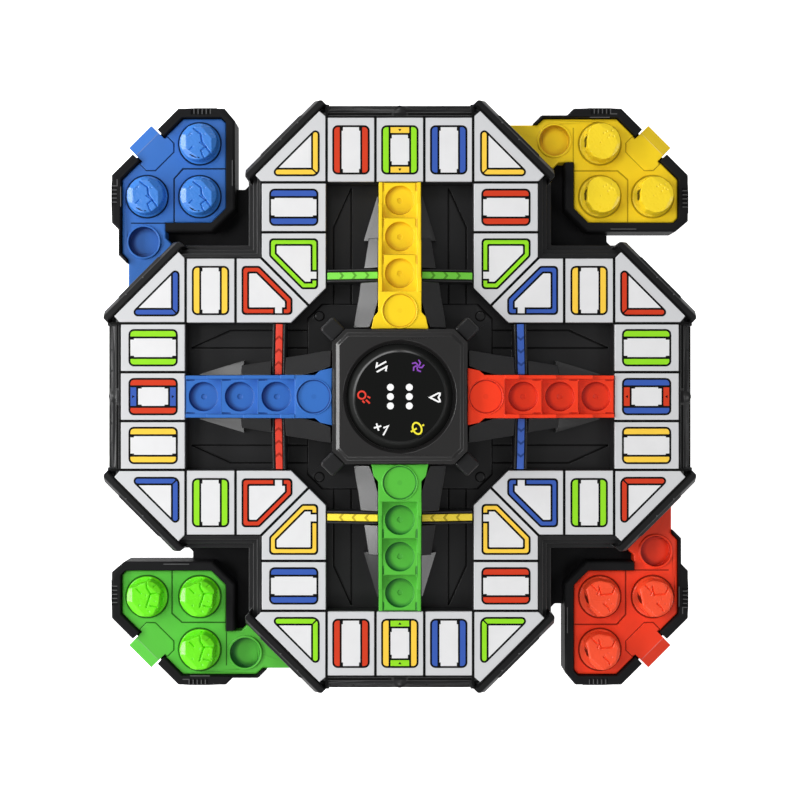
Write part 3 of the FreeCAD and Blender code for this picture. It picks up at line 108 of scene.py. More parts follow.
class Finish:
    def __init__(self, name):
        self.material = bpy.data.materials.new(name)
        self.material.use_nodes = True
        self.tree = self.material.node_tree
        self.tree.nodes.clear()
        self.place = self.node("ShaderNodeTexCoord", out="Object")

    def node(self, kind, sockets=None, out=0, stops=(), **settings):
        made = self.tree.nodes.new(kind)
        for key, value in settings.items():
            setattr(made, key, value)
        if stops:
            self.rampStops(made.color_ramp, stops)
        for key, value in (sockets or {}).items():
            if isinstance(value, Wire):
                self.tree.links.new(value.socket, made.inputs[key])
            else:
                made.inputs[key].default_value = value
        return Wire(self, made.outputs[out])

    def axes(self):
        # how far east and how far north of the board's middle
        return [self.node("ShaderNodeSeparateXYZ", {"Vector": self.place}, out) for out in "XY"]

    def noise(self, size, detail=2.0, seed=0.0):
        # size is the width of one blotch in metres
        sockets = {"Vector": self.place, "Scale": 1 / size, "Detail": detail, "W": seed}
        return self.node("ShaderNodeTexNoise", sockets, noise_dimensions="4D")

    def rampStops(self, ramp, stops):
        for element, (position, level) in zip(ramp.elements, (stops[0], stops[-1])):
            element.position = position
            element.color = (level, level, level, 1)
        for position, level in stops[1:-1]:
            ramp.elements.new(position).color = (level, level, level, 1)

    def ramp(self, share, stops):
        return self.node("ShaderNodeValToRGB", {"Fac": share}, stops=stops)

    def rise(self, share, start, end):
        return self.ramp(share, [(0.0, 0.0), (start, 0.0), (end, 1.0), (1.0, 1.0)])

    def between(self, low, high, share):
        low, high = [end if isinstance(end, Wire) else (*end, 1) for end in (low, high)]
        return self.node("ShaderNodeMix", {"Factor": share, "A": low, "B": high}, "Result", data_type="RGBA")

    def relief(self, height, depth):
        return self.node("ShaderNodeBump", {"Height": height, "Distance": depth})

    def coated(self, base, roughness, look):
        grain = self.noise(look["grainSize"], 2.0, 2.0)
        return self.close({"Base Color": base, "Roughness": roughness, "Coat Weight": look["coat"],
                           "Coat Roughness": look["coatRough"], "Specular IOR Level": look["specular"],
                           "Normal": self.relief(grain, look["grainDepth"])})

    def close(self, sockets):
        shader = self.node("ShaderNodeBsdfPrincipled", sockets)
        output = self.tree.nodes.new("ShaderNodeOutputMaterial")
        self.tree.links.new(shader.socket, output.inputs["Surface"])
        return self.material


def tone(red, green, blue):
    # screen values from 0 to 255, as linear light
    def linear(value):
        share = value / 255
        return ((share + 0.055) / 1.055) ** 2.4 if share > 0.04045 else share / 12.92
    return (linear(red), linear(green), linear(blue))


def shade(colour, gain):
    return tuple(min(1.0, part * gain) for part in colour)


def away(first, second):
    return (first * first + second * second) ** 0.5


def plastic(finish, colour, look, shadowTone=None, dark=None):
    # where dark is given and is 1, the plastic turns to the tone of its painted shade
    clouds = finish.noise(look["cloudSize"], 3.0, 1.0)
    base = finish.between(shade(colour, 1 - look["cloud"]), shade(colour, 1 + look["cloud"]), clouds)
    if dark:
        base = finish.between(base, shadowTone, dark)
    return finish.coated(base, (clouds - 0.5) * look["roughSpread"] + look["rough"], look)


# The start cup in a tray, in metres: painted shadow on its west side and painted shade on its floor
startCup = dict(x=-0.126, y=0.0761, radius=0.0075, shift=0.0013, start=0.0052, end=0.0074, floorDark=0.14,
                shadowDark=0.72)


def cupPlastic(name, colour, shadowTone, look, turn):
    finish = Finish(name)
    cup = startCup
    spot = Matrix.Rotation(radians(turn), 3, "Z") @ Vector((cup["x"], cup["y"], 0))
    east, north = [axis - value for axis, value in zip(finish.axes(), spot)]
    inCup = away(east, north).near(0.0, cup["radius"])
    # the ramp runs over 10 mm
    shadow = finish.rise(away(east - cup["shift"], north) * 100, cup["start"] * 100, cup["end"] * 100)
    # painted shadow on the west side and painted shade on the floor
    return plastic(finish, colour, look, shadowTone, inCup * (shadow * cup["shadowDark"] + cup["floorDark"]))


# The seats of the home stairs, in metres, with painted shade: darker cup floors, painted shadows on the cups' west
# sides, and painted shade in the dimples, round the top seat's ring and in the slits beside the rails
stairCups = dict(first=0.0939, pitch=0.017883, last=0.04025, cup=0.00705, shift=0.0011, start=0.0049,
                 end=0.0068, floorDark=0.16, shadowDark=0.68, dimple=0.0012, dimpleDark=0.13, ring=0.0076,
                 ringHalf=0.0003, ringDark=0.7, slitSide=0.0079, slitHalf=0.0004, slitDark=0.6,
                 slitFirst=0.0063, slitReach=0.0021)


def stairPlastic(name, colour, shadowTone, look, axis):
    # axis is the way out along the stair, from the middle of the board
    finish = Finish(name)
    cups = stairCups
    east, north = finish.axes()
    out = east * axis[0] + north * axis[1]
    side = east * axis[1] - north * axis[0]
    step = (out - cups["first"]).wrap(cups["pitch"] / 2)
    onSteps = out.near(cups["first"] - cups["pitch"], cups["pitch"] * 1.5)
    fromCup, fromTop = away(step, side), away(out - cups["last"], side)
    # the painted shadow lies on a cup's west side, and the ramp runs over 10 mm
    fromLit = away(step + axis[0] * -cups["shift"], side + axis[1] * -cups["shift"])
    shadow = finish.rise(fromLit * 100, cups["start"] * 100, cups["end"] * 100)
    inCup = fromCup.near(0.0, cups["cup"]) * onSteps
    dimples = fromCup.near(0.0, cups["dimple"]) * onSteps + fromTop.near(0.0, cups["dimple"])
    ring = fromTop.near(cups["ring"], cups["ringHalf"]) * cups["ringDark"]
    slitSide = ((side * side) ** 0.5).near(cups["slitSide"], cups["slitHalf"])
    slit = slitSide * step.near(cups["slitFirst"], cups["slitReach"]) * onSteps * cups["slitDark"]
    # painted shade and painted shadow, which the plastic takes on below
    dark = inCup * (shadow * cups["shadowDark"] + cups["floorDark"]) + ring + slit + dimples * cups["dimpleDark"]
    return plastic(finish, colour, look, shadowTone, dark)


# The button: bands over the distance from its middle, in shares of 50 mm: a paler cone band that is painted
# reflection, and a pale arc of painted highlight on the edge towards a window
buttonLook = dict(rough=0.16, grainSize=0.00035, grainDepth=0.000001, specular=0.35, coat=0.06,
                  coatRough=0.08, cone=(28, 29, 28), coneStart=0.425, coneEnd=0.436, coneRough=0.3,
                  crescent=(136, 136, 136), windowEast=-0.574, windowNorth=0.819, windowStart=0.45,
                  windowEnd=0.85, edgeRough=0.4,
                  edge=[(0.0, 0.0), (0.411, 0.0), (0.42, 1.0), (0.426, 0.5), (0.434, 0.0), (1.0, 0.0)])


def buttonPlastic(name, colour, look):
    finish = Finish(name)
    east, north = finish.axes()
    fromMiddle = away(east, north)
    # the cone band's paler tone is painted reflection
    cone = finish.rise(fromMiddle * 20, look["coneStart"], look["coneEnd"])
    edge = finish.ramp(fromMiddle * 20, look["edge"])
    toWindow = (east * look["windowEast"] + north * look["windowNorth"]) / fromMiddle
    # painted highlight on the edge, on the side towards the window
    crescent = edge * finish.rise(toWindow, look["windowStart"], look["windowEnd"])
    base = finish.between(finish.between(colour, tone(*look["cone"]), cone), tone(*look["crescent"]), crescent)
    return finish.coated(base, edge * look["edgeRough"] + cone * look["coneRough"] + look["rough"], look)


lampLook = dict(cloudSize=0.003, cloud=0.06, rough=0.35)
metalLook = dict(streakSize=0.0004, streak=0.2, roughSpread=0.2, depth=0.00001)
boardLook = dict(blotchSize=0.0022, tracks=[(0.47, 0.0), (0.5, 1.0), (0.53, 0.0)], gain=1.9, rough=0.35,
                 depth=0.00003)


def lampWhite(name, colour, strength):
    finish = Finish(name)
    clouds = finish.noise(lampLook["cloudSize"], 2.0, 3.0)
    base = finish.between(shade(colour, 1 - lampLook["cloud"]), colour, clouds)
    return finish.close({"Base Color": base, "Roughness": lampLook["rough"], "Emission Color": base,
                         "Emission Strength": strength})


def turnedMetal(name, colour, rough):
    finish = Finish(name)
    streak = finish.noise(metalLook["streakSize"], 4.0, 4.0)
    base = finish.between(shade(colour, 1 - metalLook["streak"]), colour, streak)
    roughness = streak * metalLook["roughSpread"] + rough
    return finish.close({"Base Color": base, "Metallic": 1.0, "Roughness": roughness,
                         "Normal": finish.relief(streak, metalLook["depth"])})


def boardGreen(name, colour):
    finish = Finish(name)
    blotch = finish.noise(boardLook["blotchSize"], 1.0, 5.0)
    tracks = finish.ramp(blotch, boardLook["tracks"])
    base = finish.between(colour, shade(colour, boardLook["gain"]), tracks)
    return finish.close({"Base Color": base, "Roughness": boardLook["rough"],
                         "Normal": finish.relief(tracks, boardLook["depth"])})


satin = dict(rough=0.42, roughSpread=0.14, cloudSize=0.03, cloud=0.08, grainSize=0.00035, grainDepth=0.000012,
             specular=0.5, coat=0.0, coatRough=0.1)
blackLook = dict(satin, rough=0.3, roughSpread=0.08, specular=0.4)
rockLook = dict(satin, rough=0.3, roughSpread=0.06, specular=0.75)
trayLook = dict(satin, rough=0.5, specular=0.03)
tileLook = dict(satin, specular=0.25, cloud=0.02, grainSize=0.0005, grainDepth=0.00001)
colourLook = dict(satin, rough=0.38, specular=0.3, cloud=0.05, cloudSize=0.018)
tokenLook = dict(satin, rough=0.28, cloud=0.07, cloudSize=0.006, grainSize=0.0008, grainDepth=0.00002)
printLook = dict(satin, rough=0.45, specular=0.12, cloud=0.05, cloudSize=0.008, grainDepth=0.000004)
plastics = {
    "black_casing": (32, 32, 33, blackLook),
    "black_rock": (34, 34, 35, rockLook),
    "black_tray": (31, 31, 32, trayLook),
    "black_tower": (28, 27, 27, rockLook),
    "black_fitting": (36, 36, 37, blackLook),
    "black_band": (20, 20, 21, dict(blackLook, rough=0.4, specular=0.25)),
    # a pale grey: painted highlight on the tray rims' ribs, and the specks on the bands
    "rib_grey": (88, 88, 89, dict(satin, specular=0.2)),
    "foot_rubber": (40, 40, 40, dict(satin, rough=0.75, grainDepth=0.00004)),
    "cell_wrap": (70, 74, 84, dict(satin, coat=0.5)),
    "white_tile": (208, 209, 211, tileLook),
    # black print; also the painted shade of the tile seams and the sunken floor's lines, and the dark lines on the
    # bands and ledges
    "black_ink": (8, 8, 8, printLook),
    "white_ink": (227, 227, 228, printLook),
}
metals = {"spring_steel": (200, 200, 204, 0.2), "screw_steel": (150, 150, 154, 0.28),
          "speaker_metal": (110, 110, 112, 0.35)}
lamps = {"white_lamp": (250, 250, 250, 0.9), "white_sign": (200, 200, 200, 0.75), "red_sign": (186, 48, 34, 0.75),
         "violet_sign": (112, 56, 150, 0.75), "yellow_sign": (200, 190, 44, 0.75)}
finishes = {"black_gloss": buttonPlastic("black_gloss", tone(11, 12, 11), buttonLook),
            "circuit_board": boardGreen("circuit_board", tone(24, 92, 52))}
for name, (*screen, strength) in lamps.items():
    finishes[name] = lampWhite(name, tone(*screen), strength)
for name, (*screen, rough) in metals.items():
    finishes[name] = turnedMetal(name, tone(*screen), rough)
for name, (*screen, look) in plastics.items():
    finishes[name] = plastic(Finish(name), tone(*screen), look)


def fourTones(*screens):
    return {colour: tone(*screen) for colour, screen in zip(colours, screens)}


plasticTones = fourTones((254, 214, 30), (246, 60, 26), (86, 188, 60), (51, 109, 190))
tokenTones = fourTones((255, 218, 40), (254, 80, 44), (108, 232, 22), (60, 128, 214))
stripTones = fourTones((250, 222, 60), (224, 62, 42), (118, 214, 66), (64, 104, 196))
inkTones = fourTones((252, 206, 72), (210, 62, 34), (148, 224, 40), (58, 92, 178))
shadowTones = fourTones((214, 158, 0), (168, 16, 8), (0, 84, 36), (6, 36, 108))
# how dark the painted shade in the trays' grooves is, for each colour
grooveShadeGain = {"yellow": 0.5, "red": 0.3, "green": 0.26, "blue": 0.1}
# how dark the painted shade in the tokens' slits is, for each colour
slitShadeGain = {"yellow": 0.07, "red": 0.09, "green": 0.1, "blue": 0.07}
chevronGain = 0.5
# the paler tone of the painted highlight on the trays' crease lines
pale = dict(share=0.72, white=0.12)
stairAxis = {"yellow": (0, 1), "red": (1, 0), "green": (0, -1), "blue": (-1, 0)}
for colour in colours:
    main, strip, shadow = plasticTones[colour], stripTones[colour], shadowTones[colour]
    paler = tuple(part * pale["share"] + pale["white"] for part in main)
    coloured = {"_plastic": (main, colourLook), "_token": (tokenTones[colour], tokenLook),
                "_strip": (strip, colourLook), "_chevron": (shade(strip, chevronGain), printLook),
                "_groove": (shade(main, grooveShadeGain[colour]), printLook), "_pale": (paler, colourLook),
                "_slit": (shade(main, slitShadeGain[colour]), printLook), "_ink": (inkTones[colour], printLook)}
    for name, (value, look) in coloured.items():
        finishes[colour + name] = plastic(Finish(colour + name), value, look)
    axis = stairAxis[colour]
    finishes["home_stair_" + colour] = stairPlastic(colour + "_stair", main, shadow, colourLook, axis)
    finishes["tray_insert_" + colour] = cupPlastic(colour + "_cup", main, shadow, colourLook, trayTurn[colour])
finishes["rock_ridges"] = finishes["black_rock"]
for name, node in nodes.items():
    node.data.materials[0] = finishes.get(name) or finishes[slotOf[name]]
print("finishes made:", len(finishes))

def link(name, mesh):
    piece = bpy.data.objects.new(name, mesh)
    scene.collection.objects.link(piece)
    return piece


def plainMesh(piece):
    # what the piece's modifiers make of it, as a mesh of its own
    view = bpy.context.evaluated_depsgraph_get()
    made = bpy.data.meshes.new_from_object(piece.evaluated_get(view), depsgraph=view)
    piece.modifiers.clear()
    piece.data = made
    return piece


def onBody(piece, node):
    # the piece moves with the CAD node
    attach(piece, bodyOf[node])
    return piece


# The mould's edges: a softened copy of a CAD node, whose bevels shrink where there is little room
edgeLook = dict(sharpDegrees=28, roomShare=0.38, segments=2, wideSegments=4, smallest=0.05, weld=0.001,
                stairWeld=0.04, flatDegrees=0.5, joinDegrees=60, smoothDegrees=46, sideWays=0.8)
bosses = dict(half=3.2, out=133)


def edgeRoom(edge):
    direction = (edge.verts[1].co - edge.verts[0].co).normalized()
    room = edge.calc_length()
    for face in edge.link_faces:
        for other in face.edges:
            if other is edge or not set(other.verts) & set(edge.verts):
                continue
            way = (other.verts[1].co - other.verts[0].co).normalized()
            if abs(way.dot(direction)) < edgeLook["sideWays"]:
                room = min(room, other.calc_length())
    return room


def atBoss(edge):
    # the small round bosses in the middle of the casing's sides stay as they are
    spots = [(abs(vert.co.x) / mm, abs(vert.co.y) / mm) for vert in edge.verts]
    return all(min(spot) < bosses["half"] and max(spot) > bosses["out"] for spot in spots)


def softened(node, width):
    mesh = nodes[node].data.copy()
    work = bmesh.new()
    work.from_mesh(mesh)
    weld = edgeLook["stairWeld" if node.startswith("home_stair") else "weld"]
    bmesh.ops.remove_doubles(work, verts=work.verts, dist=weld * mm)
    bmesh.ops.join_triangles(work, faces=work.faces, angle_face_threshold=radians(edgeLook["flatDegrees"]),
                             angle_shape_threshold=radians(edgeLook["joinDegrees"]))
    weight = work.edges.layers.float.new("bevel_weight_edge")
    for edge in work.edges:
        sharp = len(edge.link_faces) == 2 and edge.calc_face_angle(0) > radians(edgeLook["sharpDegrees"])
        if sharp and not (node == "ring_deck" and atBoss(edge)):
            reach = min(1.0, edgeLook["roomShare"] * edgeRoom(edge) / (width * mm))
            edge[weight] = reach if reach * width > edgeLook["smallest"] else 0.0
    work.to_mesh(mesh)
    work.free()
    piece = link("moulded_" + node, mesh)
    bevel = piece.modifiers.new("edges", "BEVEL")
    bevel.width = width * mm
    bevel.segments = edgeLook["wideSegments" if width > 1 else "segments"]
    bevel.limit_method = "WEIGHT"
    bevel.use_clamp_overlap = False
    plainMesh(piece)
    piece.data.shade_smooth()
    piece.data.set_sharp_from_angle(angle=radians(edgeLook["smoothDegrees"]))
    flat = piece.modifiers.new("flat faces", "WEIGHTED_NORMAL")
    flat.keep_sharp = True
    plainMesh(piece)
    onBody(piece, node)
    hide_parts(node)
    return piece


softWidths = {
    "ring_deck": 0.4, "sunken_floor": 0.3, "rock_ridges": 0.35, "tower_housing": 0.16, "corner_posts": 0.45,
    "dice_cap": 2.2, "bottom_shell": 0.4, "battery_door": 0.3, "rubber_feet": 0.3, "power_slider": 0.15,
    "gate_tiles": 0.16, "plain_tiles": 0.16, "bend_tiles": 0.16, "corner_tiles": 0.16,
}
colourWidths = dict(home_stair=0.35, bridge=0.25, tray_frame=0.4, tray_insert=0.3, pull_tab=0.3)
softWidths.update({part + "_" + colour: width for colour in colours for part, width in colourWidths.items()})
moulded = {node: softened(node, width) for node, width in softWidths.items()}
# the bridges are narrower than their seats, so that a black gap shows on both sides
bridges = dict(out=57.7, reach=4, narrow=0.8)
for colour in colours:
    for vertex in moulded["bridge_" + colour].data.vertices:
        for axis in (0, 1):
            side = copysign(bridges["out"] * mm, vertex.co[axis])
            if abs(vertex.co[axis] - side) < bridges["reach"] * mm:
                vertex.co[axis] = side + (vertex.co[axis] - side) * bridges["narrow"]
# the low outer ends of the ridges slope outwards
ridgeEnds = dict(near=75.3, far=97.0, inner=10.3, outer=17.7, low=24.0, high=26.2, slope=0.38)
for vertex in moulded["rock_ridges"].data.vertices:
    side, along = sorted((abs(vertex.co.x) / mm, abs(vertex.co.y) / mm))
    atEnd = ridgeEnds["near"] < along < ridgeEnds["far"] and ridgeEnds["inner"] < side < ridgeEnds["outer"]
    if atEnd and ridgeEnds["low"] < vertex.co.z / mm < ridgeEnds["high"]:
        vertex.co.z -= ridgeEnds["slope"] * (side - ridgeEnds["inner"]) * mm
# the slits in the tray rims, moved along the rim
rimSlits = dict(shift=-3.0, low=86.5, high=105.0, near=138.0, far=141.75, level=15.0)
for colour, spin in trayTurn.items():
    turn = Matrix.Rotation(radians(spin), 4, "Z")
    back = turn.inverted()
    for vertex in moulded["tray_frame_" + colour].data.vertices:
        spot = back @ vertex.co / mm
        inside = -rimSlits["high"] < spot.x < -rimSlits["low"] and rimSlits["near"] < spot.y < rimSlits["far"]
        if inside and spot.z > rimSlits["level"]:
            spot.x += rimSlits["shift"]
            vertex.co = turn @ spot * mm
print("softened copies made:", len(softWidths))


# Flat shapes: outlines in millimetres, turned into thin closed slabs
def rounded(corners, steps=5):
    # corners are (x, y, radius), anticlockwise
    outline = []
    count = len(corners)
    for index in range(count):
        x, y, radius = corners[index]
        here = Vector((x, y))
        before = (Vector(corners[index - 1][:2]) - here).normalized()
        after = (Vector(corners[(index + 1) % count][:2]) - here).normalized()
        half = before.angle(after) / 2
        if radius <= 0:
            outline.append((x, y))
            continue
        reach = radius / tan(half)
        centre = here + (before + after).normalized() * (radius / sin(half))
        start = here + before * reach - centre
        sweep = pi - 2 * half
        turn = 1 if before.x * after.y - before.y * after.x < 0 else -1
        for step in range(steps + 1):
            angle = turn * sweep * step / steps
            spoke = Matrix.Rotation(angle, 2) @ start
            outline.append(tuple(centre + spoke))
    return outline


def slabMesh(name, outlines, low, high):
    points = []
    faces = []
    for outline in outlines:
        first = len(points)
        count = len(outline)
        points += [(x * mm, y * mm, low * mm) for x, y in outline]
        points += [(x * mm, y * mm, high * mm) for x, y in outline]
        faces.append([first + step for step in reversed(range(count))])
        faces.append([first + count + step for step in range(count)])
        for step in range(count):
            after = (step + 1) % count
            faces.append([first + step, first + after, first + count + after, first + count + step])
    mesh = bpy.data.meshes.new(name)
    mesh.from_pydata(points, [], faces)
    work = bmesh.new()
    work.from_mesh(mesh)
    bmesh.ops.recalc_face_normals(work, faces=work.faces)
    work.to_mesh(mesh)
    work.free()
    return mesh


def mirrored(outline):
    return [(-x, y) for x, y in reversed(outline)]


def bothSides(outlines):
    return outlines + [mirrored(outline) for outline in outlines]


leastMitre = 0.45


def stroke(points, width, closed=False):
    # a line of the given width as quads that meet in mitres
    spots = [Vector(point) for point in points]
    count = len(spots)
    sides = []
    for index, spot in enumerate(spots):
        before = spots[index - 1] if index or closed else spot - (spots[1] - spot)
        after = spots[(index + 1) % count] if index < count - 1 or closed else spot + (spot - spots[index - 1])
        inward = (spot - before).normalized()
        outward = (after - spot).normalized()
        middle = (inward + outward).normalized()
        across = Vector((-middle.y, middle.x))
        reach = width / 2 / max(leastMitre, across.dot(Vector((-inward.y, inward.x))))
        sides.append((spot + across * reach, spot - across * reach))
    pairs = list(zip(sides, sides[1:] + (sides[:1] if closed else [])))
    return [[tuple(b[1]), tuple(b[0]), tuple(a[0]), tuple(a[1])][::-1] for a, b in pairs]


def strokes(lines, width):
    return [quad for line in lines for quad in stroke(line, width)]


def polar(radius, bearing):
    return radius * cos(radians(bearing)), radius * sin(radians(bearing))


def arc(cx, cy, rx, ry, tilt=0.0, steps=24):
    outline = []
    for step in range(steps):
        angle = 2 * pi * step / steps
        spot = Matrix.Rotation(radians(tilt), 2) @ Vector((rx * cos(angle), ry * sin(angle)))
        outline.append((cx + spot.x, cy + spot.y))
    return outline


# Geometry Nodes: one tree stamps small shapes at a cloud of points
stampSteps = {
    "start": ("NodeGroupInput", {}, {}),
    "shapes": ("GeometryNodeCollectionInfo", {}, {"Separate Children": True, "Reset Children": True}),
    "shape": ("GeometryNodeInputNamedAttribute", {"data_type": "INT"}, {"Name": "shape"}),
    "facing": ("GeometryNodeInputNamedAttribute", {"data_type": "FLOAT_VECTOR"}, {"Name": "facing"}),
    "turn": ("FunctionNodeEulerToRotation", {}, {}),
    "place": ("GeometryNodeInstanceOnPoints", {}, {"Pick Instance": True}),
    "real": ("GeometryNodeRealizeInstances", {}, {}),
    "paint": ("GeometryNodeSetMaterial", {}, {}),
    "end": ("NodeGroupOutput", {}, {}),
}
stampLinks = [
    ("start", "Shapes", "shapes", "Collection"), ("start", "Places", "place", "Points"),
    ("shapes", "Instances", "place", "Instance"), ("shape", "Attribute", "place", "Instance Index"),
    ("facing", "Attribute", "turn", "Euler"), ("turn", "Rotation", "place", "Rotation"),
    ("place", "Instances", "real", "Geometry"), ("real", "Geometry", "paint", "Geometry"),
    ("start", "Finish", "paint", "Material"), ("paint", "Geometry", "end", "Stamped"),
]


def stampTree():
    tree = bpy.data.node_groups.new("stampShapes", "GeometryNodeTree")
    inputs = {}
    for name, kind in (("Places", "Geometry"), ("Shapes", "Collection"), ("Finish", "Material")):
        inputs[name] = tree.interface.new_socket(name, in_out="INPUT", socket_type="NodeSocket" + kind)
    tree.interface.new_socket("Stamped", in_out="OUTPUT", socket_type="NodeSocketGeometry")
    made = {}
    for step, (kind, settings, values) in stampSteps.items():
        made[step] = tree.nodes.new(kind)
        for key, value in settings.items():
            setattr(made[step], key, value)
        for key, value in values.items():
            made[step].inputs[key].default_value = value
    for source, output, target, socket in stampLinks:
        tree.links.new(made[source].outputs[output], made[target].inputs[socket])
    return tree, {name: socket.identifier for name, socket in inputs.items()}


stampGroup, stampInputs = stampTree()


def stamp(name, shapeMeshes, places, finishName, node):
    # places are (shape index, (x, y, z) in millimetres, (rx, ry, rz) in degrees)
    box = bpy.data.collections.new(name + "_shapes")
    for index, mesh in enumerate(shapeMeshes):
        box.objects.link(bpy.data.objects.new("%s_%03d" % (name, index), mesh))
    cloud = bpy.data.meshes.new(name)
    cloud.from_pydata([tuple(value * mm for value in place[1]) for place in places], [], [])
    shape = cloud.attributes.new("shape", "INT", "POINT")
    facing = cloud.attributes.new("facing", "FLOAT_VECTOR", "POINT")
    for index, place in enumerate(places):
        shape.data[index].value = place[0]
        facing.data[index].vector = [radians(value) for value in place[2]]
    piece = link(name, cloud)
    modifier = piece.modifiers.new("stamps", "NODES")
    modifier.node_group = stampGroup
    modifier[stampInputs["Shapes"]] = box
    modifier[stampInputs["Finish"]] = finishes[finishName]
    plainMesh(piece)
    for unused in list(box.objects):
        bpy.data.objects.remove(unused)
    bpy.data.collections.remove(box)
    return onBody(piece, node)


def onArms(count=1, used=None):
    # places of shapes that are drawn for the north arm: all on every arm, or those that used gives for an arm
    return [(index, (0, 0, 0), (0, 0, armTurn[arm])) for arm in arms
            for index in (used[arm] if used else range(count))]


def armPlace(arm, x, y, z):
    angle = radians(armTurn[arm])
    return (x * cos(angle) - y * sin(angle), x * sin(angle) + y * cos(angle), z)


# Printed frames on the track tiles, drawn for the north arm and turned to the others
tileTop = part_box("plain_tiles")[1].z / mm
frames = dict(line=0.95, rowCentre=118.15, rowHalfLong=11.8, halfShort=8.95, rowPitch=23.4, columnX=50.8,
              columnY=90.65, bar=4.5, barInner=0.3, corner=2.6, endBar=3.7, stepLong=1.7, stepDeep=0.6,
              markHalf=0.75, markUp=0.55, markDown=0.65, sunk=0.05, backTop=0.06, inkTop=0.09, keyTop=0.12,
              faceTop=0.14, wedgeBar=4.1, wedgeTip=2.05, wedgeCorner=3.4, wedgeX=38.4, wedgeY=105.5,
              wedgeSide=24.9, wedgeGap=0.5, tipStretch=2.41, faceStretch=1.41, bendBand=3.65, bendOuter=62.6,
              bendInner=39.1, bendTop=75.8, bendLow=51.4, bendCut=46.9, bendShoulder=67.2, bendTurn=22.5,
              bendRounds=(1.9, 1.3, 0.9, 0.5), bridgeY=58.1, bridgeGap=3.3, keyMouth=0.6, faceMouth=0.9)
armPrints = {"north": ("yellow", "blue", "red", "green") * 2, "east": ("red", "yellow", "green", "blue") * 2,
             "south": ("green", "red", "blue", "yellow") * 2, "west": ("blue", "green", "yellow", "red") * 2}
printOrder = ("wedges", "leftColumn", "leftRow", "gateSides", "gateEnds", "rightRow", "rightColumn", "bends")


def rectangle(x0, y0, x1, y1, radius=0.0):
    return rounded([(x0, y0, radius), (x1, y0, radius), (x1, y1, radius), (x0, y1, radius)])


def barPair(cx, cy, upright):
    # two bars with rounded outer corners, along the long sides of a frame
    line = frames["line"]
    high, outer = frames["rowHalfLong"] - line, frames["halfShort"] - line
    inner, near, far = frames["halfShort"] - frames["bar"] + line, frames["barInner"], frames["corner"] - line
    bar = rounded([(inner, -high, near), (outer, -high, far), (outer, high, far), (inner, high, near)])
    bars = [mirrored(bar), bar]
    if not upright:
        bars = [[(-y, x) for x, y in bar] for bar in bars]
    return [[(cx + x, cy + y) for x, y in bar] for bar in bars]


def frameFace(cx, cy, halfX, halfY, upright, ends):
    line, bar = frames["line"], frames["bar"]
    x = halfX - (bar if upright else line)
    y = halfY - (line + ends if upright else bar)
    # a step at each corner, long along the bar
    across, along = (frames["stepDeep"], frames["stepLong"])[::1 if upright else -1]
    corners = []
    for sx, sy in ((-1, -1), (1, -1), (1, 1), (-1, 1)):
        step = [(sx * (x - across), sy * y), (sx * (x - across), sy * (y - along)), (sx * x, sy * (y - along))]
        corners += step[::-1] if sx * sy > 0 else step
    return [(cx + px, cy + py) for px, py in reversed(corners)]


def wedgeCorners(inset, shorter):
    x, y, side = -frames["wedgeX"] - inset, frames["wedgeY"] + inset, frames["wedgeSide"] - shorter
    return (x, y), (x, y + side), (x - side, y)


def wedgeBack():
    rounds = (frames["wedgeCorner"], frames["wedgeTip"], frames["wedgeTip"])
    return rounded([(*corner, radius) for corner, radius in zip(wedgeCorners(0, 0), rounds)], 8)


def wedgeBars():
    # two bars that meet in a mitre at the right angle
    line = frames["line"]
    tip = frames["wedgeSide"] - frames["wedgeTip"] * frames["tipStretch"]
    inner = frames["wedgeBar"] - line
    half, centre, turnRadius = (inner - line) / 2, (inner + line) / 2, frames["wedgeCorner"] - line
    bow = [polar(half, bearing) for bearing in range(0, 181, 20)]
    bend = [polar(turnRadius, bearing) for bearing in range(0, 37, 12)]
    upright = [(centre + x, tip + y) for x, y in bow]
    upright += [(line + turnRadius - x, line + turnRadius - y) for x, y in bend]
    upright.append((inner, inner + line * frames["wedgeGap"]))
    x, y = -frames["wedgeX"], frames["wedgeY"]
    return [[(x - u, y + v) for u, v in upright], [(x - v, y + u) for u, v in reversed(upright)]]


def wedgeFace():
    shorter = frames["wedgeBar"] * 2 + frames["line"] * frames["faceStretch"]
    return list(wedgeCorners(frames["wedgeBar"], shorter))


def bendShape(inset, radius, gate=()):
    # the five-sided frame of a bend tile, moved inwards by inset; gate is an opening in its right side
    slant = inset * tan(radians(frames["bendTurn"]))
    left, right = -frames["bendOuter"] + inset, -frames["bendInner"] - inset
    top, low = frames["bendTop"] - inset, frames["bendLow"] + inset
    return rounded([(left, frames["bendShoulder"] + slant, radius), (-frames["bendCut"] + slant, low, radius),
                    (right, low, 0 if gate else radius), *gate, (right, top, radius), (left, top, radius)])


def bendInside(inset, radius, margin, mouthShare):
    # the inside of a bend frame, with the gate that opens towards the bridge
    right, mouth = -frames["bendInner"] - inset, -frames["bendInner"] - frames["line"] * mouthShare
    half, y = frames["bridgeGap"] / 2 + margin, frames["bridgeY"]
    return bendShape(inset, radius, [(right, y - half, 0), (mouth, y - half, 0), (mouth, y + half, 0),
                                     (right, y + half, 0)])


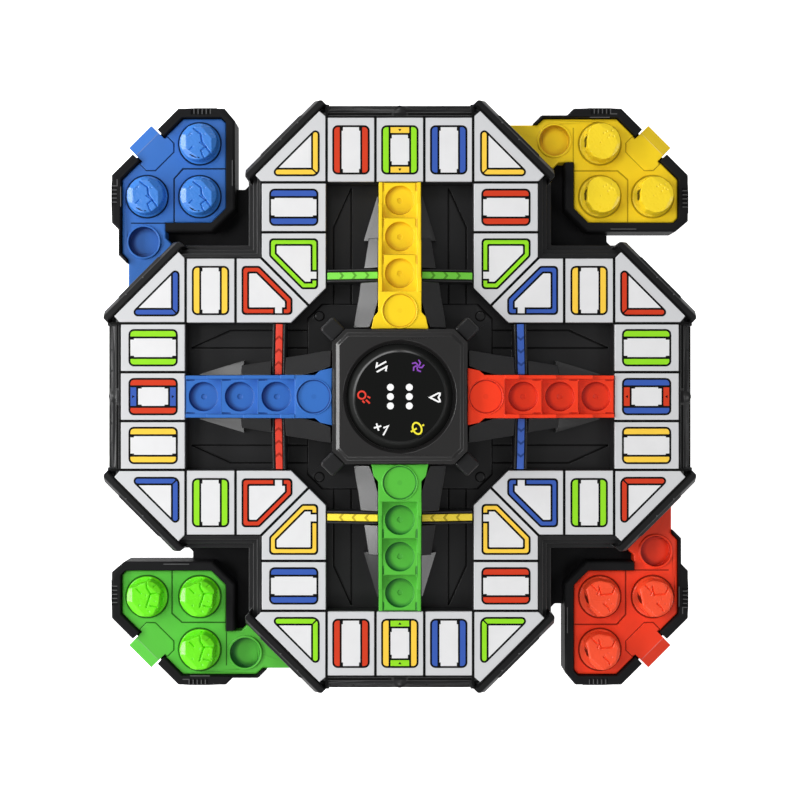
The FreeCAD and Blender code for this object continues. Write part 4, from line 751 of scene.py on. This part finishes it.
def printShapes():
    # the outlines of each kind of frame: black backing, ink, black key lines, pale face
    row, line, halfX, halfY = frames["rowCentre"], frames["line"], frames["halfShort"], frames["rowHalfLong"]
    pitch, columnX, columnY = frames["rowPitch"], frames["columnX"], frames["columnY"]
    straight = {"leftRow": (-pitch, row, True, 0.0), "rightRow": (pitch, row, True, 0.0),
                "leftColumn": (-columnX, columnY, False, 0.0), "rightColumn": (columnX, columnY, False, 0.0),
                "gateSides": (0, row, True, frames["endBar"])}
    kinds = {}
    for name, (x, y, upright, ends) in straight.items():
        wide, high = (halfX, halfY)[::1 if upright else -1]
        kinds[name] = {"back": [rectangle(x - wide, y - high, x + wide, y + high, frames["corner"])],
                       "ink": barPair(x, y, upright), "face": [frameFace(x, y, wide, high, upright, ends)]}
    x, outer, inner = halfX - frames["bar"], halfY - line, halfY - frames["endBar"]
    half, up, down = frames["markHalf"], frames["markUp"], frames["markDown"]
    kinds["gateEnds"] = {
        "ink": [rectangle(-x, row - outer, x, row - inner), rectangle(-x, row + inner, x, row + outer)],
        "key": [[(0, middle - down), (half, middle + up), (-half, middle + up)]
                for middle in (row - (outer + inner) / 2, row + (outer + inner) / 2)]}
    kinds["wedges"] = {"back": bothSides([wedgeBack()]), "ink": bothSides(wedgeBars()),
                       "face": bothSides([wedgeFace()])}
    band, rounds = frames["bendBand"], frames["bendRounds"]
    bends = {"back": bendShape(0, rounds[0]), "ink": bendShape(line, rounds[1]),
             "key": bendInside(band - line, rounds[2], line, frames["keyMouth"]),
             "face": bendInside(band, rounds[3], 0.0, frames["faceMouth"])}
    kinds["bends"] = {layer: bothSides([outline]) for layer, outline in bends.items()}
    return kinds


def printFrames():
    kinds = printShapes()

    def slabs(layer, top):
        return [slabMesh(name, kinds[name][layer], tileTop - frames["sunk"], tileTop + frames[top])
                for name in printOrder if layer in kinds[name]]

    layers = (("back", "black", "backTop"), ("key", "black", "keyTop"), ("face", "white", "faceTop"))
    for layer, ink, top in layers:
        shapes = slabs(layer, top)
        stamp("print_%s_%s" % (layer, ink), shapes, onArms(len(shapes)), ink + "_ink", "plain_tiles")
    shapes = slabs("ink", "inkTop")
    for colour in colours:
        used = {arm: [index for index, ink in enumerate(armPrints[arm]) if ink == colour] for arm in arms}
        stamp("print_bars_" + colour, shapes, onArms(used=used), colour + "_ink", "plain_tiles")


def inlay(name, outlines, low, high, finishName, node="ring_deck"):
    # thin shapes drawn for the north arm, on all four arms
    stamp(name, [slabMesh(name, outlines, low, high)], onArms(), finishName, node)


# Black seams that fill the gaps between the tiles, level with their tops, as painted shade over the black deck in the
# gaps; the last line lies on the diagonal
seams = dict(width=1.25, low=29.2, over=0.02, lines=[
    [(-11.7, 102.6), (-11.7, 134.4)], [(-35.1, 102.6), (-35.1, 138.6)], [(-66.5, 102.6), (-35.5, 102.6)],
    [(-66.5, 78.7), (-35.1, 78.7)], [(-66.5, 66.5), (-43.5, 43.5)]])


def tileSeams():
    outlines = strokes(seams["lines"], seams["width"])
    outlines += [mirrored(outline) for outline in outlines[:-1]]
    inlay("tile_seams", outlines, seams["low"], tileTop + seams["over"], "black_ink")


# Painted shade: black bottoms for the grooves of the sunken floor, and black lines round its platform and studs
grooves = dict(width=0.75, edge=0.6, floorTop=20.0, platformTop=21.2, over=0.03, deep=0.3, stud=39.12,
               studRadius=2.3,
               lines=[[(-32.3, 45.2), (-32.3, 82.5), (-23.7, 101.5)], [(-23.7, 45.2), (-23.7, 101.5)]],
               platform=[(-44.95, 38.05), (-38.05, 44.95), (38.05, 44.95)])


def floorLines():
    lines = bothSides(strokes(grooves["lines"], grooves["width"])) + stroke(grooves["platform"], grooves["edge"])
    stud, radius = grooves["stud"], grooves["studRadius"]
    ring = stroke(arc(-stud, stud, radius, radius), grooves["edge"], True)
    tops = grooves["floorTop"], grooves["platformTop"]
    for name, outlines, top in zip(("floor_lines", "stud_rings"), (lines, ring), tops):
        inlay(name, outlines, top - grooves["deep"], top + grooves["over"], "black_ink", "sunken_floor")


# Darker tops on the diagonal bands, and dark lines along the ledges of the straight sides, clear of the bosses
deckTops = dict(
    cap=[(-71.9, 104.7), (-71.9, 103.4), (-73.7, 105.2), (-73.7, 106.4),
         (-38.5, 141.6), (-37.3, 141.6), (-35.5, 139.8), (-36.8, 139.8)],
    capTop=30.8, over=0.03, deep=0.2, innerLine=[(-71.6, 104.9), (-37.0, 139.5)], lineWidth=0.7, clear=4,
    ledges=((34.6, 135.75, 1.2, 28.2), (36.8, 140.9, 0.5, 21.6)), specks=((-57.1, 123.1), (-49.0, 131.2)),
    speck=0.4, speckDeep=0.1)


def deckLines():
    over, top, clear, speck = (deckTops[key] for key in ("over", "capTop", "clear", "speck"))
    low = top - deckTops["deep"]
    inlay("band_tops", bothSides([deckTops["cap"]]), low, top + over, "black_band")
    inner = stroke(deckTops["innerLine"], deckTops["lineWidth"])
    inlay("band_lines", bothSides(inner), low, top + 2 * over, "black_ink")
    for half, y, width, level in deckTops["ledges"]:
        lines = strokes([[(-half, y), (-clear, y)], [(clear, y), (half, y)]], width)
        inlay("ledge_lines_%d" % level, lines, level - deckTops["deep"], level + over, "black_ink")
    specks = [arc(side * x, y, speck, speck, 0, 8) for x, y in deckTops["specks"] for side in (1, -1)]
    inlay("band_specks", specks, top - deckTops["speckDeep"], top + 3 * over, "rib_grey")


rivets = dict(xs=(-22.6, -13.0, 12.5, 22.6), y=140.0, ledge=21.6, radius=0.55, high=0.35, topShare=0.6,
              deep=0.1, blockX=35.0, blockHalf=0.9, blockLow=137.4, blockHigh=141.0, blockTop=25.9,
              blockRound=0.3)


def edgeRivets():
    half, radius = rivets["blockHalf"], rivets["radius"]
    dome = slabMesh("rivet", [arc(0, 0, radius, radius, 0, 10)], -rivets["deep"], rivets["high"])
    for vertex in dome.vertices:
        if vertex.co.z > 0:
            vertex.co.xy *= rivets["topShare"]
    places = [(0, armPlace(arm, x, rivets["y"], rivets["ledge"]), (0, 0, armTurn[arm]))
              for arm in arms for x in rivets["xs"]]
    stamp("edge_rivets", [dome], places, "black_fitting", "ring_deck")
    blocks = [rectangle(x - half, rivets["blockLow"], x + half, rivets["blockHigh"], rivets["blockRound"])
              for x in (-rivets["blockX"], rivets["blockX"])]
    inlay("edge_blocks", blocks, rivets["ledge"] - rivets["deep"], rivets["blockTop"], "black_fitting")


printFrames()
tileSeams()
floorLines()
deckLines()
edgeRivets()
print("tile frames printed")

# Arrowheads across the eight bridges, all pointing clockwise round the board
arrows = dict(bridgeY=57.7, tileEnd=34.7, stairEnd=10.5, lowTop=31.0, highTop=35.5, deep=0.1, first=6.8,
              pitch=6.1, count=3, halfWidth=1.6, reach=1.3, thick=1.2, proud=0.08)
bridgeColours = {"north": "green", "east": "blue", "south": "yellow", "west": "red"}


def bridgeArrows():
    wide, reach, thick = arrows["halfWidth"], arrows["reach"], arrows["thick"]
    outline = [(-thick, -wide), (0, -wide), (reach, 0), (0, wide), (-thick, wide), (reach - thick, 0)]
    shape = slabMesh("arrowhead", [outline], -arrows["deep"], arrows["proud"])
    run, rise = arrows["tileEnd"] - arrows["stairEnd"], arrows["highTop"] - arrows["lowTop"]
    slope = degrees(atan2(rise, run))
    for arm, colour in bridgeColours.items():
        places = []
        for side in (-1, 1):
            for step in range(arrows["count"]):
                along = arrows["first"] + arrows["pitch"] * step
                spot = armPlace(arm, side * (arrows["tileEnd"] - along), arrows["bridgeY"],
                                arrows["lowTop"] + rise * along / run)
                places.append((0, spot, (0, side * slope, armTurn[arm])))
        stamp("arrowheads_" + colour, [shape], places, colour + "_chevron", "bridge_" + colour)


bridgeArrows()
print("bridge arrowheads made")


def coilSpring():
    coil = onBody(link("coil_spring", nodes["dice_spring"].data.copy()), "dice_spring")
    coil.data.shade_smooth()
    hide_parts("dice_spring")
    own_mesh(coil)


coilSpring()
signs = dict(lowered=0.1, sunk=0.4, pipX=4.38, pipY=4.31, pipRadius=1.6, stroke=0.78,
             blade=((0.15, 30), (1.0, 36), (1.95, 52), (2.95, 84)))


# each sign: finish, place, width as a share of the stroke, closed rings, open lines
signShapes = {
    "swap": ("white_sign", (-8.5, 13.8), 1, [], [[(-1.95, 2.07), (-2.39, -0.1), (2.2, 2.4)],
                                                 [(1.95, -2.07), (2.39, 0.1), (-2.2, -2.4)]]),
    "pinwheel": ("violet_sign", (8.3, 14.1), 0.85, [], [
        [polar(radius, bearing + first) for radius, bearing in signs["blade"]] for first in range(0, 360, 72)]),
    "pointer": ("white_sign", (16.55, -0.4), 1, [[(-2.6, 0), (1.2, 1.95), (2.0, 1.9), (1.95, 1.2), (1.3, 0),
                                                  (1.95, -1.2), (2.0, -1.9), (1.2, -1.95)]], []),
    "barred_ring": ("yellow_sign", (8.0, -14.7), 1, [arc(0, 0, 1.95, 2.75, 24)],
                    [[(-2.9, -1.6), (-0.2, 0.0)], [(2.3, 1.2), (3.2, 1.7)]]),
    "plus_one": ("white_sign", (-8.5, -15.0), 1, [],
                 [[(-3.5, 0.5), (-0.1, 1.4)], [(-2.3, 2.6), (-1.3, -0.8)], [(0.9, 0.5), (3.1, 1.4), (0.8, -2.9)]]),
    "ring_and_dashes": ("red_sign", (-16.7, -0.2), 1, [arc(-0.9, 0.9, 1.75, 1.75)],
                        [[(1.7, 0.3), (3.0, -0.5)], [(1.0, -1.3), (2.8, -2.95)], [(-0.6, -1.7), (0.4, -2.7)]]),
}


def lightButton():
    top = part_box("dice_cap")[1].z / mm
    for vertex in moulded["dice_cap"].data.vertices:
        vertex.co.z = min(vertex.co.z, (top - signs["lowered"]) * mm)
    low = top - signs["sunk"]
    dot = slabMesh("pip", [arc(0, 0, signs["pipRadius"], signs["pipRadius"], 0, 32)], 0, signs["sunk"])
    places = [(0, (side * signs["pipX"], row * signs["pipY"], low), (0, 0, 0))
              for side in (-1, 1) for row in (-1, 0, 1)]
    stamp("lit_pips", [dot], places, "white_sign", "dice_cap")
    for name, (finishName, (x, y), share, rings, lines) in signShapes.items():
        width = signs["stroke"] * share
        outlines = [quad for ring in rings for quad in stroke(ring, width, True)] + strokes(lines, width)
        mesh = slabMesh("sign_" + name, outlines, low, top)
        mesh.transform(Matrix.Translation((x * mm, y * mm, 0)))
        mesh.materials.append(finishes[finishName])
        onBody(link("sign_" + name, mesh), "dice_cap")


lightButton()
print("button signs made")

# The tokens: a round lip with a broken stone on it, one kind of stone for each colour.
# walls are (bearing, distance), facets (bearing, tilt, distance), cracks (width, depth, points), pits (x, y, radius)
tokens = dict(radius=10.0, rim=9.9, rimDrop=0.12, rimRound=0.4, edge=9.6, stoneEdge=9.45, lip=1.4, lowest=0.2,
              cadHead=9.0, head=8.2, wallTilt=84, wallLean=0.4, wallOut=0.35, crackWide=1.25, crackDeep=1.4,
              rings=46, spokes=216, topSink=0.25, peg=7.0, pegRound=0.6, grain=0.05, grainSize=1.1,
              grainSlice=3.0, pitDeep=0.4, sharpDegrees=50, slitSteps=6, slitEnd=0.6, slitEnds=0.2,
              slitTop=0.08, slitLow=-0.6)
stones = {
    "blue": dict(
        shift=(1.1, -1.1),
        walls=[(0, 9.0), (36, 9.1), (72, 9.0), (108, 9.2), (144, 9.1), (180, 9.3), (216, 9.2), (252, 8.9), (288, 9.1),
                  (324, 9.2)],
        facets=[(180, 27, 5.9), (232, 38, 5.6), (270, 33, 6.2), (315, 36, 6.5), (0, 43, 5.6), (42, 40, 5.7),
                   (88, 34, 7.5), (135, 29, 6.8)],
        top=(200, 1.5),
        cracks=[(0.4, 0.7, [(-3.1, 7.2), (0.5, 4.5), (1.0, 0.9), (2.9, -1.7), (5.7, -5.4)]),
                   (0.35, 0.6, [(2.9, -1.7), (0.5, -3.5), (1.3, -5.9), (2.4, -7.5)]),
                   (0.35, 0.5, [(0.0, 0.5), (2.9, -1.7)]), (0.3, 0.4, [(-5.2, -3.2), (-3.6, -1.6)])],
        slit=(0.34, [(-5.2, -5.2), (-2.7, -6.5), (-0.2, -7.0)]),
        pits=[(-4.4, 4.6, 0.7), (-5.0, 3.9, 0.5), (1.3, 8.0, 0.6), (5.7, 5.2, 0.6), (2.4, 4.3, 0.5)],
    ),
    "yellow": dict(
        shift=(-0.6, -0.6),
        walls=[(180, 7.0), (215, 7.6), (250, 8.4), (290, 9.0), (330, 9.4), (10, 9.4), (50, 9.3), (90, 9.2),
                  (130, 8.9), (158, 7.9)],
        facets=[(185, 33, 5.6), (235, 24, 6.2), (280, 26, 7.6), (330, 16, 7.4), (20, 14, 7.6), (60, 18, 6.4),
                   (110, 24, 8.0), (150, 28, 7.0)],
        top=(190, 2.0),
        cracks=[],
        slit=(0.34, [(-6.5, 4.6), (-6.95, 1.6), (-6.8, -1.6)]),
        pits=[(1.5, 4.4, 0.6), (2.9, 5.3, 0.5), (4.6, 3.6, 0.6), (3.6, 2.2, 0.5), (5.4, 5.6, 0.5), (6.2, 2.9, 0.5),
                 (0.0, 0.0, 0.35)],
    ),
    "green": dict(
        shift=(1.0, 1.0),
        walls=[(180, 9.3), (221, 8.9), (270, 9.3), (310, 9.4), (333, 8.3), (355, 7.6), (35, 9.3), (90, 8.6),
                  (109, 7.2), (150, 9.4)],
        facets=[(180, 27, 6.0), (221, 34, 6.1), (270, 30, 8.0), (333, 40, 6.6), (0, 46, 6.2), (50, 28, 4.6),
                   (90, 35, 7.0), (109, 35, 5.8)],
        top=(180, 1.5),
        cracks=[(0.4, 0.7, [(0.1, 7.6), (0.3, 4.4), (2.1, 1.3), (1.0, -1.9), (0.0, -5.0)]),
                   (0.4, 0.6, [(2.1, 1.3), (5.2, 1.8), (6.8, 1.3)]), (0.4, 0.6, [(2.1, -4.4), (5.2, -5.0)]),
                   (0.35, 0.5, [(-4.8, 3.9), (-2.7, 1.8)]), (0.35, 0.5, [(3.6, 5.0), (6.2, 6.8)])],
        slit=(0.45, [(7.3, 1.6), (6.9, -0.6), (6.3, -3.0)]),
        pits=[(0.0, 0.8, 0.5), (1.2, -7.0, 0.6), (-3.4, -4.2, 0.5), (4.2, -2.2, 0.4)],
    ),
    "red": dict(
        shift=(-0.7, 0.6),
        walls=[(131, 8.9), (192, 6.7), (225, 7.7), (265, 9.2), (305, 9.4), (332, 9.3), (0, 9.4), (40, 9.4), (80, 8.6),
                  (105, 8.8)],
        facets=[(190, 33, 4.6), (135, 26, 7.0), (225, 30, 5.2), (265, 28, 8.2), (305, 28, 8.0), (350, 32, 7.9),
                   (40, 28, 7.4), (85, 26, 6.9)],
        top=(185, 1.5),
        cracks=[(0.4, 0.6, [(-4.4, 6.2), (-1.8, 3.6)]),
                   (0.4, 0.7, [(-0.8, 5.4), (0.3, 1.3), (5.5, 1.8), (7.0, 5.0)]),
                   (0.4, 0.6, [(1.5, -3.0), (3.5, -4.6), (4.6, -6.6)]), (0.35, 0.5, [(-0.5, 4.0), (-1.6, 1.4)])],
        slit=(0.36, [(-6.9, 2.9), (-6.6, -0.3), (-5.8, -3.2)]),
        pits=[(0.2, 1.0, 0.7), (3.8, -0.8, 0.5), (2.2, -2.2, 0.4), (5.6, -3.0, 0.5), (-1.0, -7.0, 0.4)],
    ),
}


def along(bearing, x, y):
    east, north = polar(1.0, bearing)
    return x * east + y * north


def strokeDistance(points, x, y):
    spot = Vector((x, y))
    distances = []
    for first, second in zip(points, points[1:]):
        start = Vector(first)
        way = Vector(second) - start
        share = max(0.0, min(1.0, (spot - start).dot(way) / way.length_squared))
        distances.append((spot - start - way * share).length)
    return min(distances)


def stoneHeight(stone, x, y):
    # height above the seat: the lowest of all the planes, less the cracks and pits
    shiftX, shiftY = stone["shift"]
    footX, footY = x - shiftX * tokens["wallLean"], y - shiftY * tokens["wallLean"]
    edge = tokens["stoneEdge"] - hypot(x, y)
    x, y = x - shiftX, y - shiftY
    bearing, tilt = stone["top"]
    height = tokens["head"] - tokens["topSink"] - along(bearing, x, y) * tan(radians(tilt))
    for bearing, tilt, distance in stone["facets"]:
        height = min(height, tokens["head"] + (distance - along(bearing, x, y)) * tan(radians(tilt)))
    for bearing, distance in stone["walls"]:
        inside = min(distance + tokens["wallOut"] - along(bearing, footX, footY), edge)
        height = min(height, tokens["lip"] + inside * tan(radians(tokens["wallTilt"])))
    rough = noise.noise(Vector((x, y, tokens["grainSlice"])) / tokens["grainSize"]) * tokens["grain"]
    height = max(height + rough - tokens["grain"], tokens["lip"])
    for width, depth, points in stone["cracks"]:
        share = 1 - strokeDistance(points, x, y) / (width * tokens["crackWide"])
        height -= depth * tokens["crackDeep"] * max(0.0, share)
    for px, py, radius in stone["pits"]:
        height -= tokens["pitDeep"] * max(0.0, 1 - hypot(x - px, y - py) / radius)
    return max(height, tokens["lowest"])


def stoneMesh(colour, foot):
    # foot is the depth of the peg under the seat
    stone, spokes, rings, radius, lip, peg, turn = (
        stones[colour], *(tokens[key] for key in ("spokes", "rings", "radius", "lip", "peg", "pegRound")))
    profile = [(tokens["edge"] * (step + 1) / rings, None) for step in range(rings)]
    profile += [(tokens["rim"], lip - tokens["rimDrop"]), (radius, lip - tokens["rimRound"]), (radius, 0.0),
                (peg, 0.0), (peg, turn - foot), (peg - turn, -foot)]
    points = [(0.0, 0.0, stoneHeight(stone, 0.0, 0.0))]
    for reach, level in profile:
        for spoke in range(spokes):
            angle = 2 * pi * spoke / spokes
            x, y = reach * cos(angle), reach * sin(angle)
            points.append((x, y, stoneHeight(stone, x, y) if level is None else level))
    points.append((0.0, 0.0, -foot))
    sides = [(spoke, (spoke + 1) % spokes) for spoke in range(spokes)]
    faces = [(0, 1 + spoke, 1 + after) for spoke, after in sides]
    for ring in range(len(profile) - 1):
        first, below = 1 + ring * spokes, 1 + (ring + 1) * spokes
        faces += [(first + spoke, below + spoke, below + after, first + after) for spoke, after in sides]
    last = len(points) - 1 - spokes
    faces += [(len(points) - 1, last + after, last + spoke) for spoke, after in sides]
    mesh = bpy.data.meshes.new("stone_" + colour)
    mesh.from_pydata([tuple(value * mm for value in point) for point in points], [], faces)
    mesh.shade_smooth()
    mesh.set_sharp_from_angle(angle=radians(tokens["sharpDegrees"]))
    mesh.materials.append(finishes[colour + "_token"])
    return mesh


def slitMesh(colour):
    # a dark sliver of painted shade that follows the stone's surface, with thin ends
    stone = stones[colour]
    width, bends = stone["slit"]
    steps = tokens["slitSteps"]
    points = []
    for first, second in zip(bends, bends[1:]):
        points += [tuple(Vector(first).lerp(Vector(second), step / steps)) for step in range(steps)]
    points = [Vector((x + stone["shift"][0], y + stone["shift"][1])) for x, y in points + [bends[-1]]]
    left, right = [], []
    for index, point in enumerate(points):
        way = points[min(index + 1, len(points) - 1)] - points[max(index - 1, 0)]
        share = sin(pi * (index + tokens["slitEnd"]) / (len(points) + tokens["slitEnds"])) ** 0.5
        side = Vector((-way.y, way.x)).normalized() * width * share
        left.append(tuple(point + side))
        right.append(tuple(point - side))
    mesh = slabMesh("slit_" + colour, [right + left[::-1]], 0, 1)
    for vertex in mesh.vertices:
        height = stoneHeight(stone, vertex.co.x / mm, vertex.co.y / mm)
        vertex.co.z = (height + tokens["slitTop" if vertex.co.z > 0 else "slitLow"]) * mm
    mesh.materials.append(finishes[colour + "_slit"])
    return mesh


def carveTokens():
    for colour in colours:
        low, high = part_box("token_%s_1" % colour)
        seat = high.z - tokens["cadHead"] * mm
        meshes = {"stone_": stoneMesh(colour, (seat - low.z) / mm), "slit_": slitMesh(colour)}
        for index in (1, 2, 3):
            name = "token_%s_%d" % (colour, index)
            low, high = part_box(name)
            for kind, mesh in meshes.items():
                own = mesh.copy()
                own.transform(Matrix.Translation(((low.x + high.x) / 2, (low.y + high.y) / 2, seat)))
                piece = onBody(link(kind + name, own), name)
                if kind == "stone_":
                    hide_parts(name)


carveTokens()
print("tokens carved")

# Lines of the trays, in the place of the blue one: painted shade in the grooves' bottoms, round the seats and round
# the tab's panel, and a pale crease line and pale rim ribs that are painted highlights.
# The panel lies across the corner, with measures along the diagonal from corner.
trayLines = dict(
    insertTop=13.5, tabTop=13.8, rimTop=16.0, deep=0.3, over=0.04, width=0.6,
    grooves=[[(-111.2, 85.0), (-111.2, 107.4), (-106.6, 112.2), (-85.2, 112.2)], [(-132.4, 85.4), (-114.9, 85.4)]],
    seats=((-98.5, 124.5), (-98.5, 98.5), (-124.5, 98.5)), seatRing=10.4, ringWidth=0.5, corner=177.06,
    panelStart=-13.3, panelEnd=-5.7, panelHalf=9.6, panelCut=3.1, panelWidth=0.42, crease=-1.4,
    creaseHalf=7.6, creaseWidth=0.35, ribWidth=0.42, ribPitch=2,
    longRibs=[[(-82.2, 103.4), (-82.2, 116.0)], [(-138.7, 103.2), (-138.7, 106.6)],
              [(-137.0, 93.2), (-137.0, 103.0)]],
    ribRows=[[(-101.0, 138.7), (-101.0, 141.2)], [(-141.2, 95.4), (-138.9, 95.4)]], ribs=5)


def diagonal(*spots):
    # from measures along and across the tray's diagonal
    return [((v - u) / sqrt(2), (v + u) / sqrt(2)) for u, v in spots]


def trayStrokes():
    lines = trayLines
    dark = strokes(lines["grooves"], lines["width"])
    for x, y in lines["seats"]:
        dark += stroke(arc(x, y, lines["seatRing"], lines["seatRing"], 0, 60), lines["ringWidth"], True)
    start, end, crease = (lines["corner"] + lines[key] for key in ("panelStart", "panelEnd", "crease"))
    half, cut, creaseHalf = lines["panelHalf"], lines["panelCut"], lines["creaseHalf"]
    dark += stroke(diagonal((end, -half), (start + cut, -half), (start, cut - half), (start, half - cut),
                            (start + cut, half), (end, half)), lines["panelWidth"])
    light = stroke(diagonal((crease, -creaseHalf), (crease, creaseHalf)), lines["creaseWidth"])
    ribs = list(lines["longRibs"])
    for step in range(lines["ribs"]):
        along, up = lines["ribPitch"] * step, lines["ribRows"]
        ribs.append([(x + along, y) for x, y in up[0]])
        ribs.append([(x, y + along) for x, y in up[1]])
    return {"dark": (dark, "insertTop", "insert"), "light": (light, "tabTop", "insert"),
            "ribs": (strokes(ribs, lines["ribWidth"]), "rimTop", "frame")}


def drawTrays():
    kinds = trayStrokes()
    deep, over = trayLines["deep"], trayLines["over"]
    shapes = {kind: slabMesh(kind, outlines, trayLines[top] - deep, trayLines[top] + over)
              for kind, (outlines, top, part) in kinds.items()}
    for colour, spin in trayTurn.items():
        # painted shade in the grooves, and painted highlights on the crease and the rim ribs
        looks = {"dark": colour + "_groove", "light": colour + "_pale", "ribs": "rib_grey"}
        places = [(0, (0, 0, 0), (0, 0, spin))]
        for kind, (outlines, top, part) in kinds.items():
            node = "tray_%s_%s" % (part, colour)
            stamp("tray_%s_%s" % (kind, colour), [shapes[kind].copy()], places, looks[kind], node)


drawTrays()
print("tray lines drawn")

# The room: a pale floor, soft light from the left and a camera straight above
room = dict(cameraHeight=0.63, viewWidth=0.3835, viewLevel=0.03, shiftX=0.15, shiftY=-3.4, picture=800,
            floorHalf=2.5, floorLow=(0.86, 0.86, 0.86), floorHigh=(0.9, 0.9, 0.9), floorClouds=0.4,
            floorRough=0.9, floorGlow=1.15, world=0.21)
# each light: place, breadth, size and power
lights = {
    "key_left": ((-1.25, 0.0, 0.61), 1.1, 0.34, 9.5), "glint_back": ((-1.16, 0.49, 0.484), 0.3, 0.3, 3),
    "glint_front": ((-1.16, -0.49, 0.484), 0.3, 0.3, 3), "fill_left": ((-0.85, 0.12, 1.1), 0.5, 0.5, 4.8),
    "fill_right": ((0.85, -0.2, 1.1), 0.5, 0.5, 2.9), "soft_back": ((-0.3, 0.85, 1.1), 0.5, 0.5, 3.4),
    "fill_front": ((-0.1, -0.9, 1.1), 0.5, 0.5, 2.8),
}


def addFloor():
    half = room["floorHalf"]
    mesh = bpy.data.meshes.new("floor")
    mesh.from_pydata([(-half, -half, 0), (half, -half, 0), (half, half, 0), (-half, half, 0)], [], [(0, 1, 2, 3)])
    floor = link("floor", mesh)
    finish = Finish("pale_floor")
    clouds = finish.noise(room["floorClouds"], 2.0, 9.0)
    base = finish.between(room["floorLow"], room["floorHigh"], clouds)
    floor.data.materials.append(finish.close({"Base Color": base, "Roughness": room["floorRough"],
                                              "Emission Color": base, "Emission Strength": room["floorGlow"]}))


def addLight(name, place, breadth, size, power):
    data = bpy.data.lights.new(name, "AREA")
    data.shape = "ELLIPSE"
    data.size = breadth
    data.size_y = size
    data.energy = power
    light = bpy.data.objects.new(name, data)
    light.location = place
    light.rotation_euler = (-Vector(place)).to_track_quat("-Z", "Y").to_euler()
    scene.collection.objects.link(light)


def addWorld(level):
    world = bpy.data.worlds.new("studio")
    world.use_nodes = True
    world.node_tree.nodes["Background"].inputs["Color"].default_value = (level, level, level, 1)
    scene.world = world


def addCamera():
    data = bpy.data.cameras.new("camera")
    distance = room["cameraHeight"] - room["viewLevel"]
    data.lens = data.sensor_width * distance / room["viewWidth"]
    data.shift_x = room["shiftX"] / room["picture"]
    data.shift_y = room["shiftY"] / room["picture"]
    camera = bpy.data.objects.new("camera", data)
    camera.location = (0, 0, room["cameraHeight"])
    scene.collection.objects.link(camera)
    scene.camera = camera


addFloor()
for name, values in lights.items():
    addLight(name, *values)
addWorld(room["world"])
addCamera()
scene.view_settings.view_transform = "Standard"
print("room, lights and camera set")
